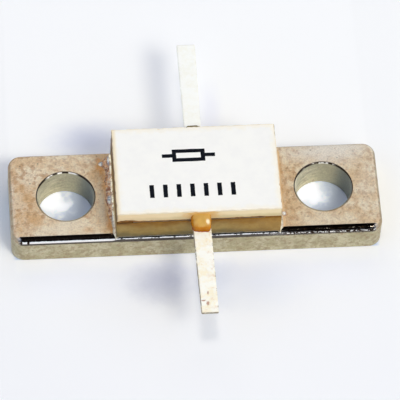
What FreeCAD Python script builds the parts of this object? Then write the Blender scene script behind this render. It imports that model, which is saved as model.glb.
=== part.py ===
"""Flanged radio-frequency film resistor: a nickel-plated copper flange that carries a
soldered ceramic block with a film resistor, two flat leads and a bonded ceramic cover.

Frame: the flange's underside lies on z = 0, its length runs along X, its middle is the
origin, and the front lead points along -Y. Lengths are millimetres and angles degrees.
"""
import FreeCAD, Part
import math
import os
from types import SimpleNamespace

import Sketcher

SIZES = [
    ("hole_spacing", 15.0, "fixing holes, centre to centre"),
    ("hole_diameter", 3.2, "clearance hole for an M3 screw"),
    ("hole_rim_radius", 0.13, "edge drawn down round the top of a hole"),
    ("hole_lower_rim_radius", 0.1, "edge broken round the underside of a hole"),
    ("hole_end_wall", 1.65, "from the edge of a hole to the end of the flange"),
    ("flange_thickness", 2.0, "flange, underside to top"),
    ("flange_side_margin", 0.05, "flange past the block, front and back"),
    ("flange_corner_radius", 0.75, "flange corners in plan"),
    ("flange_roll_radius", 0.33, "edge drawn down all round the top by the blanking press"),
    ("flange_lower_edge_radius", 0.1, "edge broken all round the underside"),
    ("solder_thickness", 0.05, "solder between the flange and the block"),
    ("solder_fillet_radius", 0.3, "hollow solder fillet along the block's two ends"),
    ("solder_toe_thickness", 0.04, "that fillet where it runs out"),
    ("underside_film_thickness", 0.015, "metal film on the block's underside"),
    ("block_to_hole_gap", 1.15, "from the block's end to the edge of a hole"),
    ("block_depth", 5.9, "ceramic block, front to back"),
    ("block_thickness", 1.45, "ceramic block, height"),
    ("pad_end_margin", 0.95, "terminal pad in from the block's ends"),
    ("pad_edge_margin", 0.05, "terminal pad in from the block's front or back edge"),
    ("pad_depth", 1.1, "terminal pad, front to back"),
    ("pad_thickness", 0.015, "terminal pad, height"),
    ("film_end_margin", 0.3, "resistor film in from the pads' ends"),
    ("film_thickness", 0.012, "resistor film, height"),
    ("trim_cut_width", 0.08, "laser trimming cut through glaze and film"),
    ("trim_cut_length", 1.4, "how far that cut runs in from the film's left end"),
    ("glaze_margin", 0.1, "glaze in from the resistor film's edges"),
    ("glaze_thickness", 0.02, "glaze, height"),
    ("lead_to_pad_margin", 0.2, "pad past the inner end of its lead"),
    ("lead_solder_thickness", 0.02, "solder between a pad and its lead"),
    ("lead_thickness", 0.1, "both leads are cut from one strip"),
    ("lead_free_length", 6.25, "how far a lead sticks out past the block"),
    ("lead_corner_radius", 0.08, "corners of a lead's tip"),
    ("front_lead_root_width", 1.07, "front lead at its inner end"),
    ("front_lead_tip_width", 1.0, "front lead at its tip"),
    ("front_lead_shift", 0.09, "front lead's middle at the block's edge, along X"),
    ("front_lead_skew", 0.7, "front lead turned to the right, seen from above"),
    ("back_lead_root_width", 0.96, "back lead at its inner end"),
    ("back_lead_tip_width", 1.1, "back lead at its tip"),
    ("back_lead_shift", 0.04, "back lead's middle at the block's edge, along X"),
    ("back_lead_skew", 0.0, "back lead turned to the left, seen from above"),
    ("adhesive_thickness", 0.02, "adhesive between a lead and the cover"),
    ("adhesive_margin", 0.05, "adhesive in from the cover's edges"),
    ("cover_end_margin", 0.01, "cover in from the block's ends"),
    ("cover_side_margin", 0.025, "cover in from the block's front and back"),
    ("cover_thickness", 0.75, "ceramic cover, height"),
    ("cover_edge_radius", 0.05, "edges rounded by tumbling the fired cover"),
    ("bead_side_margin", 0.05, "epoxy bead past each side of its lead"),
    ("bead_toe_height", 0.08, "a bead's outer edge above its lead"),
    ("bead_side_radius", 0.12, "rounding along a bead's two upper edges"),
    ("front_bead_length", 0.87, "front bead out from the cover"),
    ("front_bead_top_gap", 0.22, "front bead below the cover's top"),
    ("back_bead_length", 0.45, "back bead out from the cover"),
    ("back_bead_top_gap", 0.42, "back bead below the cover's top"),
]

NEAR = 1e-6


class Size:
    """A number together with the sheet's formula for it, so that the two always agree."""

    def __init__(self, number, formula=None):
        self.number = number
        self.formula = str(number) if formula is None else formula

    def __add__(self, other):
        return Size(self.number + other.number, f"({self.formula} + {other.formula})")

    def __sub__(self, other):
        return Size(self.number - other.number, f"({self.formula} - {other.formula})")

    def __rmul__(self, factor):
        return Size(factor * self.number, f"({factor} * {self.formula})")

    def __truediv__(self, divisor):
        return Size(self.number / divisor, f"({self.formula} / {divisor})")

    def __neg__(self):
        return Size(-self.number, f"-{self.formula}")


def smaller(first, second):
    """The smaller of two sizes."""
    return Size(min(first.number, second.number), f"min({first.formula}; {second.formula})")


ZERO = Size(0)
sizes = SimpleNamespace(**{
    alias: Size(number, f"Sizes.{alias}") for alias, number, _ in SIZES
})

# Lengths and depths that follow from the holes and from the block.
flange_length = sizes.hole_spacing + sizes.hole_diameter + 2 * sizes.hole_end_wall
flange_width = sizes.block_depth + 2 * sizes.flange_side_margin
block_length = sizes.hole_spacing - sizes.hole_diameter - 2 * sizes.block_to_hole_gap
pad_length = block_length - 2 * sizes.pad_end_margin
film_length = pad_length - 2 * sizes.film_end_margin
film_depth = sizes.block_depth - 2 * (sizes.pad_edge_margin + sizes.pad_depth)
lead_overlap = sizes.pad_edge_margin + sizes.pad_depth - sizes.lead_to_pad_margin
cover_length = block_length - 2 * sizes.cover_end_margin
cover_depth = sizes.block_depth - 2 * sizes.cover_side_margin

# Levels above the mounting face, each worked out from the one below it.
roll_foot = sizes.flange_thickness - sizes.flange_roll_radius
underside_film_base = sizes.flange_thickness + sizes.solder_thickness
block_base = underside_film_base + sizes.underside_film_thickness
block_top = block_base + sizes.block_thickness
lead_solder_base = block_top + sizes.pad_thickness
lead_base = lead_solder_base + sizes.lead_solder_thickness
lead_top = lead_base + sizes.lead_thickness
cover_base = lead_top + sizes.adhesive_thickness
cover_top = cover_base + sizes.cover_thickness

# What differs between the two leads: the turn about Z, the widths, where they lie and
# the bead. Both are drawn as the front one is, pointing along -Y.
SIDES = {
    "front": SimpleNamespace(
        turn=ZERO, block_edge=-sizes.block_depth / 2, cover_edge=-cover_depth / 2,
        root_width=sizes.front_lead_root_width, tip_width=sizes.front_lead_tip_width,
        shift=sizes.front_lead_shift, skew=sizes.front_lead_skew,
        bead_length=sizes.front_bead_length,
        bead_top=cover_top - sizes.front_bead_top_gap,
    ),
    "back": SimpleNamespace(
        turn=Size(180), block_edge=sizes.block_depth / 2, cover_edge=cover_depth / 2,
        root_width=sizes.back_lead_root_width, tip_width=sizes.back_lead_tip_width,
        shift=sizes.back_lead_shift, skew=sizes.back_lead_skew,
        bead_length=sizes.back_bead_length,
        bead_top=cover_top - sizes.back_bead_top_gap,
    ),
}


def make_sheet(document):
    """The spreadsheet of driving sizes: a note, a plain number and an alias to a row."""
    sheet = document.addObject("Spreadsheet::Sheet", "Sizes")
    for row, (alias, number, note) in enumerate(SIZES, 1):
        sheet.set(f"A{row}", note)
        sheet.set(f"B{row}", str(number))
        sheet.setAlias(f"B{row}", alias)
    document.recompute()


def make_body(document, label):
    """An empty body whose label names its piece."""
    body = document.addObject("PartDesign::Body", label)
    body.Label = label
    return body


def origin_plane(body, role):
    """One of the three planes through the body's own origin."""
    return next(item for item in body.Origin.OriginFeatures if item.Role == role)


def make_sketch(body, name, role):
    """A sketch on one of the body's origin planes."""
    sketch = body.newObject("Sketcher::SketchObject", name)
    sketch.AttachmentSupport = [(origin_plane(body, role), "")]
    sketch.MapMode = "FlatFace"
    return sketch


def constrain(sketch, kind, *targets):
    """Adds a constraint that has no size."""
    sketch.addConstraint(Sketcher.Constraint(kind, *targets))


def bind(sketch, name, kind, targets, size):
    """Adds a dimension to a sketch and ties it to the sheet."""
    index = sketch.addConstraint(Sketcher.Constraint(kind, *targets, size.number))
    sketch.renameConstraint(index, name)
    sketch.setExpression(f"Constraints.{name}", size.formula)


def draw_lines(sketch, points):
    """Straight lines from point to point, joined end to end; gives their numbers."""
    corners = [FreeCAD.Vector(x.number, y.number, 0) for x, y in points]
    lines = [
        sketch.addGeometry(Part.LineSegment(start, end), False)
        for start, end in zip(corners, corners[1:])
    ]
    for line, following in zip(lines, lines[1:]):
        constrain(sketch, "Coincident", line, 2, following, 1)
    return lines


def draw_loop(sketch, points):
    """Straight lines through the points and back to the first; gives their numbers."""
    lines = draw_lines(sketch, points + points[:1])
    constrain(sketch, "Coincident", lines[-1], 2, lines[0], 1)
    return lines


def draw_rectangle(sketch, length, depth):
    """A rectangle about the sketch's origin."""
    bottom, right, top, left = draw_loop(sketch, [
        (-length / 2, -depth / 2), (length / 2, -depth / 2),
        (length / 2, depth / 2), (-length / 2, depth / 2),
    ])
    for line in (bottom, top):
        constrain(sketch, "Horizontal", line)
    for line in (right, left):
        constrain(sketch, "Vertical", line)
    constrain(sketch, "Symmetric", bottom, 1, top, 1, -1, 1)
    bind(sketch, "length", "DistanceX", (bottom, 1, bottom, 2), length)
    bind(sketch, "depth", "DistanceY", (right, 1, right, 2), depth)


def draw_band(sketch, width, low, high):
    """A rectangle about the sketch's upright axis, from one height to another."""
    bottom, right, top, left = draw_loop(sketch, [
        (-width / 2, low), (width / 2, low), (width / 2, high), (-width / 2, high),
    ])
    for line in (right, left):
        constrain(sketch, "Vertical", line)
    constrain(sketch, "Symmetric", bottom, 1, bottom, 2, -2)
    constrain(sketch, "Horizontal", top)
    bind(sketch, "width", "DistanceX", (bottom, 1, bottom, 2), width)
    bind(sketch, "low", "DistanceY", (-1, 1, bottom, 1), low)
    bind(sketch, "high", "DistanceY", (-1, 1, top, 1), high)


def pad(body, sketch, name, length, symmetric=False):
    """Raises a sketch into a solid, upwards or to both sides of its plane."""
    feature = body.newObject("PartDesign::Pad", name)
    feature.Profile = sketch
    feature.SideType = "Symmetric" if symmetric else "One side"
    feature.setExpression("Length", length.formula)
    body.Document.recompute()
    return feature


def round_edges(body, base, name, radius, chosen):
    """Rounds the edges of a feature that a test picks."""
    names = [f"Edge{number}" for number, edge in enumerate(base.Shape.Edges, 1) if chosen(edge)]
    feature = body.newObject("PartDesign::Fillet", name)
    feature.Base = (base, names)
    feature.setExpression("Radius", radius.formula)
    body.Document.recompute()
    return feature


def lies_at(edge, height):
    """True for an edge that lies in the level plane at that height."""
    box = edge.BoundBox
    return abs(box.ZMin - height) < NEAR and abs(box.ZMax - height) < NEAR


def stands(edge):
    """True for a straight edge along Z."""
    box = edge.BoundBox
    return box.XLength < NEAR and box.YLength < NEAR and box.ZLength > NEAR


def place(piece, x=ZERO, y=ZERO, z=ZERO, turn=None):
    """Ties a piece's position, and its turn about Z, to the sheet."""
    for axis, size in zip("xyz", (x, y, z)):
        piece.setExpression(f"Placement.Base.{axis}", size.formula)
    if turn is not None:
        piece.setExpression("Placement.Rotation.Angle", turn.formula)


def make_box(document, label, length, depth, height, base, x=None, y=None):
    """A box over the origin, unless x or y gives its left or front side."""
    box = document.addObject("Part::Box", label)
    box.Label = label
    box.setExpression("Length", length.formula)
    box.setExpression("Width", depth.formula)
    box.setExpression("Height", height.formula)
    place(box, x or -length / 2, y or -depth / 2, base)
    return box


def make_cut(document, label, base, tool):
    """What is left of the base once the tool is taken out of it."""
    cut = document.addObject("Part::Cut", label)
    cut.Label = label
    cut.Base = base
    cut.Tool = tool
    return cut


def make_flange(document):
    """The blanked flange: drawn-down upper edge, broken lower edge and two fixing holes."""
    body = make_body(document, "flange")
    outline = make_sketch(body, "flange_outline", "XY_Plane")
    draw_rectangle(outline, flange_length, flange_width)
    left, right = [
        outline.addGeometry(
            Part.Circle(
                FreeCAD.Vector(side * sizes.hole_spacing.number / 2, 0, 0),
                FreeCAD.Vector(0, 0, 1), sizes.hole_diameter.number / 2,
            ), False,
        )
        for side in (-1, 1)
    ]
    constrain(outline, "Symmetric", left, 3, right, 3, -1, 1)
    constrain(outline, "PointOnObject", right, 3, -1)
    constrain(outline, "Equal", left, right)
    bind(outline, "spacing", "DistanceX", (left, 3, right, 3), sizes.hole_spacing)
    bind(outline, "bore", "Diameter", (right,), sizes.hole_diameter)
    blank = pad(body, outline, "flange_blank", sizes.flange_thickness)

    end = flange_length.number / 2
    top = sizes.flange_thickness.number
    corners = round_edges(
        body, blank, "flange_corners", sizes.flange_corner_radius,
        lambda edge: stands(edge) and abs(abs(edge.CenterOfMass.x) - end) < NEAR,
    )
    rolled = round_edges(
        body, corners, "flange_rolled_edge", sizes.flange_roll_radius,
        lambda edge: lies_at(edge, top) and not edge.isClosed(),
    )
    broken = round_edges(
        body, rolled, "flange_lower_edge", sizes.flange_lower_edge_radius,
        lambda edge: lies_at(edge, 0) and not edge.isClosed(),
    )
    rims = round_edges(
        body, broken, "hole_rims", sizes.hole_rim_radius,
        lambda edge: lies_at(edge, top) and edge.isClosed(),
    )
    round_edges(
        body, rims, "hole_lower_rims", sizes.hole_lower_rim_radius,
        lambda edge: lies_at(edge, 0) and edge.isClosed(),
    )
    return body


def draw_solder_fillet(sketch):
    """The section of the hollow fillet at the block's right end, its foot in the flange."""
    end = block_length / 2
    inner = end + sizes.solder_toe_thickness
    outer = inner + sizes.solder_fillet_radius
    toe_top = sizes.flange_thickness + sizes.solder_toe_thickness
    climb = toe_top + sizes.solder_fillet_radius
    top, side, bottom, outer_side = draw_lines(sketch, [
        (inner, climb), (end, climb), (end, roll_foot), (outer, roll_foot), (outer, toe_top),
    ])
    circle = Part.Circle(
        FreeCAD.Vector(outer.number, climb.number, 0), FreeCAD.Vector(0, 0, 1),
        sizes.solder_fillet_radius.number,
    )
    hollow = sketch.addGeometry(Part.ArcOfCircle(circle, math.pi, 1.5 * math.pi), False)
    constrain(sketch, "Coincident", outer_side, 2, hollow, 2)
    constrain(sketch, "Coincident", hollow, 1, top, 1)
    constrain(sketch, "Horizontal", top)
    constrain(sketch, "Horizontal", bottom)
    constrain(sketch, "Vertical", side)
    constrain(sketch, "Vertical", outer_side)
    constrain(sketch, "Vertical", hollow, 3, hollow, 2)
    constrain(sketch, "Horizontal", hollow, 3, hollow, 1)
    bind(sketch, "radius", "Radius", (hollow,), sizes.solder_fillet_radius)
    bind(sketch, "toe", "DistanceX", (top, 2, top, 1), sizes.solder_toe_thickness)
    bind(sketch, "toe_top", "DistanceY", (-1, 1, outer_side, 2), toe_top)
    bind(sketch, "block_end", "DistanceX", (-1, 1, side, 2), end)
    bind(sketch, "foot", "DistanceY", (-1, 1, side, 2), roll_foot)


def make_solder_joint(document, flange):
    """The solder that holds the block: a layer under it that also fills the wedge over
    the flange's drawn-down edges, and a hollow fillet along each end."""
    blank = make_body(document, "solder_blank")
    layer_section = make_sketch(blank, "solder_layer_section", "XZ_Plane")
    draw_band(layer_section, block_length, roll_foot, underside_film_base)
    pad(blank, layer_section, "solder_layer", sizes.block_depth, symmetric=True)
    fillet_section = make_sketch(blank, "solder_fillet_section", "XZ_Plane")
    draw_solder_fillet(fillet_section)
    fillet = pad(blank, fillet_section, "solder_fillet", sizes.block_depth, symmetric=True)
    other_end = blank.newObject("PartDesign::Mirrored", "other_solder_fillet")
    other_end.Originals = [fillet]
    other_end.MirrorPlane = (origin_plane(blank, "YZ_Plane"), [""])
    blank.Tip = other_end
    return make_cut(document, "solder_joint", blank, flange)


def make_block(document):
    """The ceramic block, which takes the film's heat down to the flange, and the metal
    film that lets its underside take solder."""
    return [
        make_box(
            document, "underside_film", block_length, sizes.block_depth,
            sizes.underside_film_thickness, underside_film_base,
        ),
        make_box(
            document, "ceramic_block", block_length, sizes.block_depth,
            sizes.block_thickness, block_base,
        ),
    ]


def make_terminal_pads(document):
    """The two printed metal pads along the block's front and back edges."""
    outer = sizes.block_depth / 2 - sizes.pad_edge_margin
    corners = {"front": -outer, "back": outer - sizes.pad_depth}
    return [
        make_box(
            document, f"terminal_pad_{side}", pad_length, sizes.pad_depth,
            sizes.pad_thickness, block_top, y=corner,
        )
        for side, corner in corners.items()
    ]


def make_trimmed_film(document):
    """The resistor film between the pads and its glaze, both cut by the trimming laser."""
    trim_cut = make_box(
        document, "trim_cut", sizes.trim_cut_length, sizes.trim_cut_width,
        sizes.film_thickness + sizes.glaze_thickness, block_top, x=-film_length / 2,
    )
    film_blank = make_box(
        document, "film_blank", film_length, film_depth, sizes.film_thickness, block_top,
    )
    glaze_blank = make_box(
        document, "glaze_blank", film_length - 2 * sizes.glaze_margin,
        film_depth - 2 * sizes.glaze_margin, sizes.glaze_thickness,
        block_top + sizes.film_thickness,
    )
    return [
        make_cut(document, "resistor_film", film_blank, trim_cut),
        make_cut(document, "film_glaze", glaze_blank, trim_cut),
    ]


def make_lead_solder(document, name):
    """The solder between a pad and its lead, as far out as the pad goes."""
    side = SIDES[name]
    body = make_body(document, f"lead_solder_{name}")
    outline = make_sketch(body, f"lead_solder_{name}_outline", "XY_Plane")
    draw_band(outline, side.root_width, sizes.pad_edge_margin, lead_overlap)
    pad(body, outline, f"lead_solder_{name}_layer", sizes.lead_solder_thickness)
    place(body, side.shift, side.block_edge, lead_solder_base, side.turn + side.skew)
    return body


def make_lead(document, name):
    """A flat strip, soldered to its pad and sticking straight out of the front or back."""
    side = SIDES[name]
    body = make_body(document, f"lead_{name}")
    outline = make_sketch(body, f"lead_{name}_outline", "XY_Plane")
    tip, right, root, left = draw_loop(outline, [
        (-side.tip_width / 2, -sizes.lead_free_length),
        (side.tip_width / 2, -sizes.lead_free_length),
        (side.root_width / 2, lead_overlap), (-side.root_width / 2, lead_overlap),
    ])
    constrain(outline, "Symmetric", tip, 1, tip, 2, -2)
    constrain(outline, "Symmetric", root, 1, root, 2, -2)
    bind(outline, "tip_width", "DistanceX", (tip, 1, tip, 2), side.tip_width)
    bind(outline, "root_width", "DistanceX", (root, 2, root, 1), side.root_width)
    bind(outline, "free_length", "DistanceY", (tip, 1, -1, 1), sizes.lead_free_length)
    bind(outline, "overlap", "DistanceY", (-1, 1, root, 1), lead_overlap)
    strip = pad(body, outline, f"lead_{name}_strip", sizes.lead_thickness)
    round_edges(
        body, strip, f"lead_{name}_tip_corners", sizes.lead_corner_radius,
        lambda edge: stands(edge) and edge.CenterOfMass.y < 0,
    )
    place(body, side.shift, side.block_edge, lead_base, side.turn + side.skew)
    return body


def make_adhesive(document, buried):
    """The adhesive that fills the space under the cover, round what is buried in it."""
    block = make_box(
        document, "adhesive_block", cover_length - 2 * sizes.adhesive_margin,
        cover_depth - 2 * sizes.adhesive_margin, cover_base - block_top, block_top,
    )
    pieces = document.addObject("Part::MultiFuse", "buried_pieces")
    pieces.Shapes = buried
    return make_cut(document, "cover_adhesive", block, pieces)


def make_cover(document):
    """The plain ceramic cover, with its upper edges and corners rounded."""
    body = make_body(document, "ceramic_cover")
    outline = make_sketch(body, "cover_outline", "XY_Plane")
    draw_rectangle(outline, cover_length, cover_depth)
    slab = pad(body, outline, "cover_slab", sizes.cover_thickness)
    top = sizes.cover_thickness.number
    round_edges(
        body, slab, "cover_edges", sizes.cover_edge_radius,
        lambda edge: stands(edge) or lies_at(edge, top),
    )
    place(body, z=cover_base)
    return body


def draw_bead_section(sketch, length, height):
    """A bead's section from the lead's underside up: level where it leaves the cover, and
    falling ever more steeply to its outer edge."""
    toe = sizes.lead_thickness + sizes.bead_toe_height
    back, bottom, front = draw_lines(sketch, [
        (ZERO, height), (ZERO, ZERO), (-length, ZERO), (-length, toe),
    ])
    rise = height.number - toe.number
    radius = (length.number ** 2 + rise ** 2) / (2 * rise)
    circle = Part.Circle(
        FreeCAD.Vector(0, height.number - radius, 0), FreeCAD.Vector(0, 0, 1), radius
    )
    sweep = math.asin(length.number / radius)
    dome = sketch.addGeometry(
        Part.ArcOfCircle(circle, math.pi / 2, math.pi / 2 + sweep), False
    )
    constrain(sketch, "Coincident", dome, 1, back, 1)
    constrain(sketch, "Coincident", dome, 2, front, 2)
    constrain(sketch, "Coincident", back, 2, -1, 1)
    constrain(sketch, "Horizontal", bottom)
    constrain(sketch, "Vertical", front)
    constrain(sketch, "Vertical", back)
    constrain(sketch, "Vertical", dome, 3, dome, 1)
    bind(sketch, "length", "DistanceX", (bottom, 2, bottom, 1), length)
    bind(sketch, "toe", "DistanceY", (front, 1, front, 2), toe)
    bind(sketch, "height", "DistanceY", (back, 2, back, 1), height)


def make_bead(document, name, lead):
    """The epoxy bead that seals a lead where it comes out from under the cover."""
    side = SIDES[name]
    blank = make_body(document, f"bead_{name}_blank")
    section = make_sketch(blank, f"bead_{name}_section", "YZ_Plane")
    draw_bead_section(section, side.bead_length, side.bead_top - lead_base)
    raised = pad(
        blank, section, f"bead_{name}_dome", side.root_width + 2 * sizes.bead_side_margin,
        symmetric=True,
    )
    round_edges(
        blank, raised, f"bead_{name}_rounding",
        smaller(sizes.bead_side_radius, sizes.lead_thickness + sizes.bead_toe_height / 2),
        lambda edge: edge.BoundBox.XLength < NEAR and edge.Curve.TypeId == "Part::GeomCircle",
    )
    place(blank, side.shift, side.cover_edge, lead_base, side.turn)
    return make_cut(document, f"epoxy_bead_{name}", blank, lead)


def make_pieces(document):
    """Every piece of the resistor, from the flange up."""
    flange = make_flange(document)
    solder_joint = make_solder_joint(document, flange)
    block = make_block(document)
    pads = make_terminal_pads(document)
    films = make_trimmed_film(document)
    lead_solders = [make_lead_solder(document, name) for name in SIDES]
    leads = [make_lead(document, name) for name in SIDES]
    buried = pads + films + lead_solders + leads
    adhesive = make_adhesive(document, buried)
    cover = make_cover(document)
    beads = [make_bead(document, name, lead) for name, lead in zip(SIDES, leads)]
    return [flange, solder_joint, *block, *buried, adhesive, cover, *beads]


def check(document, pieces):
    """Stops before anything is written if a feature failed or a piece isn't one solid."""
    for item in document.Objects:
        if "Invalid" in item.State or "Error" in item.State:
            raise RuntimeError(f"{item.Label} failed: {item.State}")
        if item.TypeId == "Sketcher::SketchObject" and not item.FullyConstrained:
            raise RuntimeError(f"{item.Label} is not fully constrained")
    for piece in pieces:
        shape = piece.Shape
        if shape.isNull() or not shape.isValid() or len(shape.Solids) != 1:
            raise RuntimeError(f"{piece.Label} is not one valid solid")


def main():
    """Builds the model and writes one file for each piece."""
    document = FreeCAD.newDocument("flanged_rf_resistor")
    make_sheet(document)
    pieces = make_pieces(document)
    document.recompute()
    check(document, pieces)
    os.makedirs("parts", exist_ok=True)
    for piece in pieces:
        piece.Shape.exportStep(f"parts/{piece.Label}.step")


main()
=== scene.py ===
"""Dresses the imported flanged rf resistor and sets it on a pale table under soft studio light.

The flange, the cover's adhesive and the hidden films, pads and lead solder keep their CAD meshes. The
solder joint, the ceramic block and its cover, the leads and the epoxy beads are built here again in the
same places, with the uneven edges, lumps and chips that the real pieces have. Lengths are in
millimetres, apart from the frame, the lamps, the table and the finished meshes, which are in metres.
"""

import logging
import math
from dataclasses import dataclass
from enum import Enum
from typing import Union

import bmesh
import bpy
from mathutils import Matrix, Vector, noise


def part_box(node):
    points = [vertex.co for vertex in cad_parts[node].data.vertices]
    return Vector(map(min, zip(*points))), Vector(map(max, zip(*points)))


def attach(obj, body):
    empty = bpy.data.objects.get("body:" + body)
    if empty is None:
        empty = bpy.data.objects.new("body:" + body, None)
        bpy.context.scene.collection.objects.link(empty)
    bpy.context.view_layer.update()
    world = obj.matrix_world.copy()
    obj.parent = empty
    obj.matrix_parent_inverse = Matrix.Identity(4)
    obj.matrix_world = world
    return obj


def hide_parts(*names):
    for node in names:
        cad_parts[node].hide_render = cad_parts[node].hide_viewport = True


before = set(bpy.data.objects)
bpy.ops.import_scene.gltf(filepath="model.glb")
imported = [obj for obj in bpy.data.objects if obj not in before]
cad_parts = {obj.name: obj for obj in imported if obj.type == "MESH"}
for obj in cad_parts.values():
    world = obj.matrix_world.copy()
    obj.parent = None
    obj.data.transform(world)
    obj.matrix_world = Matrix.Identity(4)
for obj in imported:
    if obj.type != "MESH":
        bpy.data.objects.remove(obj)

MM = 0.001
BODY = "root"
HOLE_MIDDLE = 7.5
log = logging.getLogger("rf_resistor")

Socket = bpy.types.NodeSocket
Colour = tuple[float, float, float, float]
Ramp = tuple[float, float]
Number = Union["Field", float]


def screen(red: int, green: int, blue: int) -> Colour:
    """Turns a colour as read on a screen into the linear one that a shader takes.

    Args:
        red: Red from 0 to 255.
        green: Green from 0 to 255.
        blue: Blue from 0 to 255.

    Returns:
        The linear colour with an alpha of 1.
    """
    parts = [channel / 255 for channel in (red, green, blue)]
    linear = [c / 12.92 if c <= 0.04045 else ((c + 0.055) / 1.055) ** 2.4 for c in parts]
    return (*linear, 1.0)


def wobble(place: Vector, wavelength: float, seed: float) -> float:
    """Gives a smooth random number, the same on each run, for a place on the part.

    Args:
        place: The place.
        wavelength: Rough distance between two bumps.
        seed: Picks another pattern.

    Returns:
        A number from about -1 to 1.
    """
    return noise.noise(place / wavelength + Vector((seed, 1.7 * seed, -seed)))


def smooth_rise(share: float) -> float:
    """Gives a smooth rise from 0 at a share of 0 to 1 at a share of 1."""
    share = min(max(share, 0.0), 1.0)
    return share * share * (3 - 2 * share)


def corners(node: str) -> tuple[Vector, Vector]:
    """Gives the lowest and highest corner of a CAD node's box in millimetres."""
    low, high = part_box(node)
    return low / MM, high / MM


def in_scene(name: str, data: bpy.types.ID) -> bpy.types.Object:
    """Puts a mesh, lamp or camera into the scene.

    Args:
        name: The object's name.
        data: The mesh, lamp or camera.

    Returns:
        The object.
    """
    made = bpy.data.objects.new(name, data)
    bpy.context.scene.collection.objects.link(made)
    return made


class Side(Enum):
    """The two sides that a lead comes out of, with their sign along Y."""

    FRONT = -1
    BACK = 1


@dataclass(frozen=True)
class Tint:
    """A colour and how strongly it is laid over another."""

    colour: Colour
    share: float = 1.0


def tint(red: int, green: int, blue: int, share: float = 1.0) -> Tint:
    """Gives a tint from a colour as read on a screen."""
    return Tint(screen(red, green, blue), share)


@dataclass(frozen=True)
class Patch:
    """A stain seen from above: its middle, its reach along X and Y, and its tint."""

    x: float
    y: float
    wide: float
    deep: float
    tint: Tint


class Field:
    """A number that changes over a surface, so that shader maths reads as plain arithmetic."""

    def __init__(self, graph: "Graph", socket: Socket) -> None:
        """Keeps a socket and the graph that it lies in."""
        self.graph = graph
        self.socket = socket

    def __add__(self, other: Number) -> "Field":
        """Adds the other number."""
        return self.graph.math("ADD", self, other)

    def __sub__(self, other: Number) -> "Field":
        """Takes the other number away."""
        return self.graph.math("SUBTRACT", self, other)

    def __rsub__(self, other: float) -> "Field":
        """Takes this number away from a plain one."""
        return self.graph.math("SUBTRACT", other, self)

    def __mul__(self, other: Number) -> "Field":
        """Multiplies by the other number. Two masks give what both cover."""
        return self.graph.math("MULTIPLY", self, other)

    def __or__(self, other: Number) -> "Field":
        """Gives the larger number. Two masks give what either covers."""
        return self.graph.math("MAXIMUM", self, other)

    def __and__(self, other: Number) -> "Field":
        """Gives the smaller number."""
        return self.graph.math("MINIMUM", self, other)

    def __abs__(self) -> "Field":
        """Drops the sign."""
        return self.graph.math("ABSOLUTE", self)

    def step(self, start: Number, end: Number) -> "Field":
        """Gives a mask that goes smoothly from 0 at start to 1 at end."""
        inputs = {"Value": self, "From Min": start, "From Max": end}
        return self.graph.field("ShaderNodeMapRange", inputs, interpolation_type="SMOOTHSTEP")

    def between(self, low: float, high: float, soft: float) -> "Field":
        """Gives a mask of 1 from low to high, with edges of a soft width."""
        half = soft / 2
        return self.step(low - half, low + half) * self.step(high + half, high - half)


class Graph:
    """Short calls for the nodes and links of one node tree."""

    def __init__(self, tree: bpy.types.NodeTree) -> None:
        """Keeps the tree that the calls write into."""
        self.tree = tree

    def add(self, kind: str, inputs: dict | None = None, **settings: object) -> bpy.types.Node:
        """Adds a node.

        Args:
            kind: Blender's name for the node type.
            inputs: A number, colour, socket or field for each input, by name or place.
            settings: The node's own properties.

        Returns:
            The new node.
        """
        node = self.tree.nodes.new(kind)
        for name, value in settings.items():
            setattr(node, name, value)
        for key, value in (inputs or {}).items():
            self.feed(node.inputs[key], value)
        return node

    def feed(self, socket: Socket, value: object) -> None:
        """Links a socket to an input, or sets the input's own value.

        Args:
            socket: The input.
            value: A field or socket to link, or a number, vector or colour.
        """
        value = getattr(value, "socket", value)
        if isinstance(value, Socket):
            self.tree.links.new(value, socket)
        else:
            socket.default_value = value

    def field(self, kind: str, inputs: dict, **settings: object) -> Field:
        """Adds a node and gives its first output."""
        return Field(self, self.add(kind, inputs, **settings).outputs[0])

    def math(self, operation: str, *values: Number) -> Field:
        """Gives the result of one math node on the values."""
        return self.field("ShaderNodeMath", dict(enumerate(values)), operation=operation)

    def vector(self, operation: str, *values: object) -> Field:
        """Gives the vector that one vector math node makes of the values."""
        return self.field("ShaderNodeVectorMath", dict(enumerate(values)), operation=operation)

    def split(self, vector: object) -> list[Field]:
        """Gives the X, Y and Z of a vector."""
        return [Field(self, part) for part in self.add("ShaderNodeSeparateXYZ", {0: vector}).outputs]

    def mix(self, mask: Number, low: object, high: object, blend: str = "MIX") -> Socket:
        """Mixes two colours by a mask.

        Args:
            mask: 0 for low and 1 for high.
            low: Colour or socket.
            high: Colour or socket.
            blend: How the second colour is laid on the first.

        Returns:
            The mixed colour.
        """
        settings = {"data_type": "RGBA", "blend_type": blend}
        return self.add("ShaderNodeMix", {0: mask, 6: low, 7: high}, **settings).outputs[2]

    def lay(self, under: object, mask: Field, over: Tint) -> Socket:
        """Lays a tint over a colour where a mask says."""
        return self.mix(mask * over.share, under, over.colour)

    def texture(self, place: object, scale: Number, detail: float = 2.0, rough: float = 0.5) -> Field:
        """Gives smooth noise from about 0 to 1.

        Args:
            place: Position.
            scale: How many patches there are to a unit of the position.
            detail: How many finer layers lie on it.
            rough: How strong the finer layers are.

        Returns:
            The noise value.
        """
        inputs = {"Vector": place, "Scale": scale, "Detail": detail, "Roughness": rough}
        return self.field("ShaderNodeTexNoise", inputs)


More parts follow.
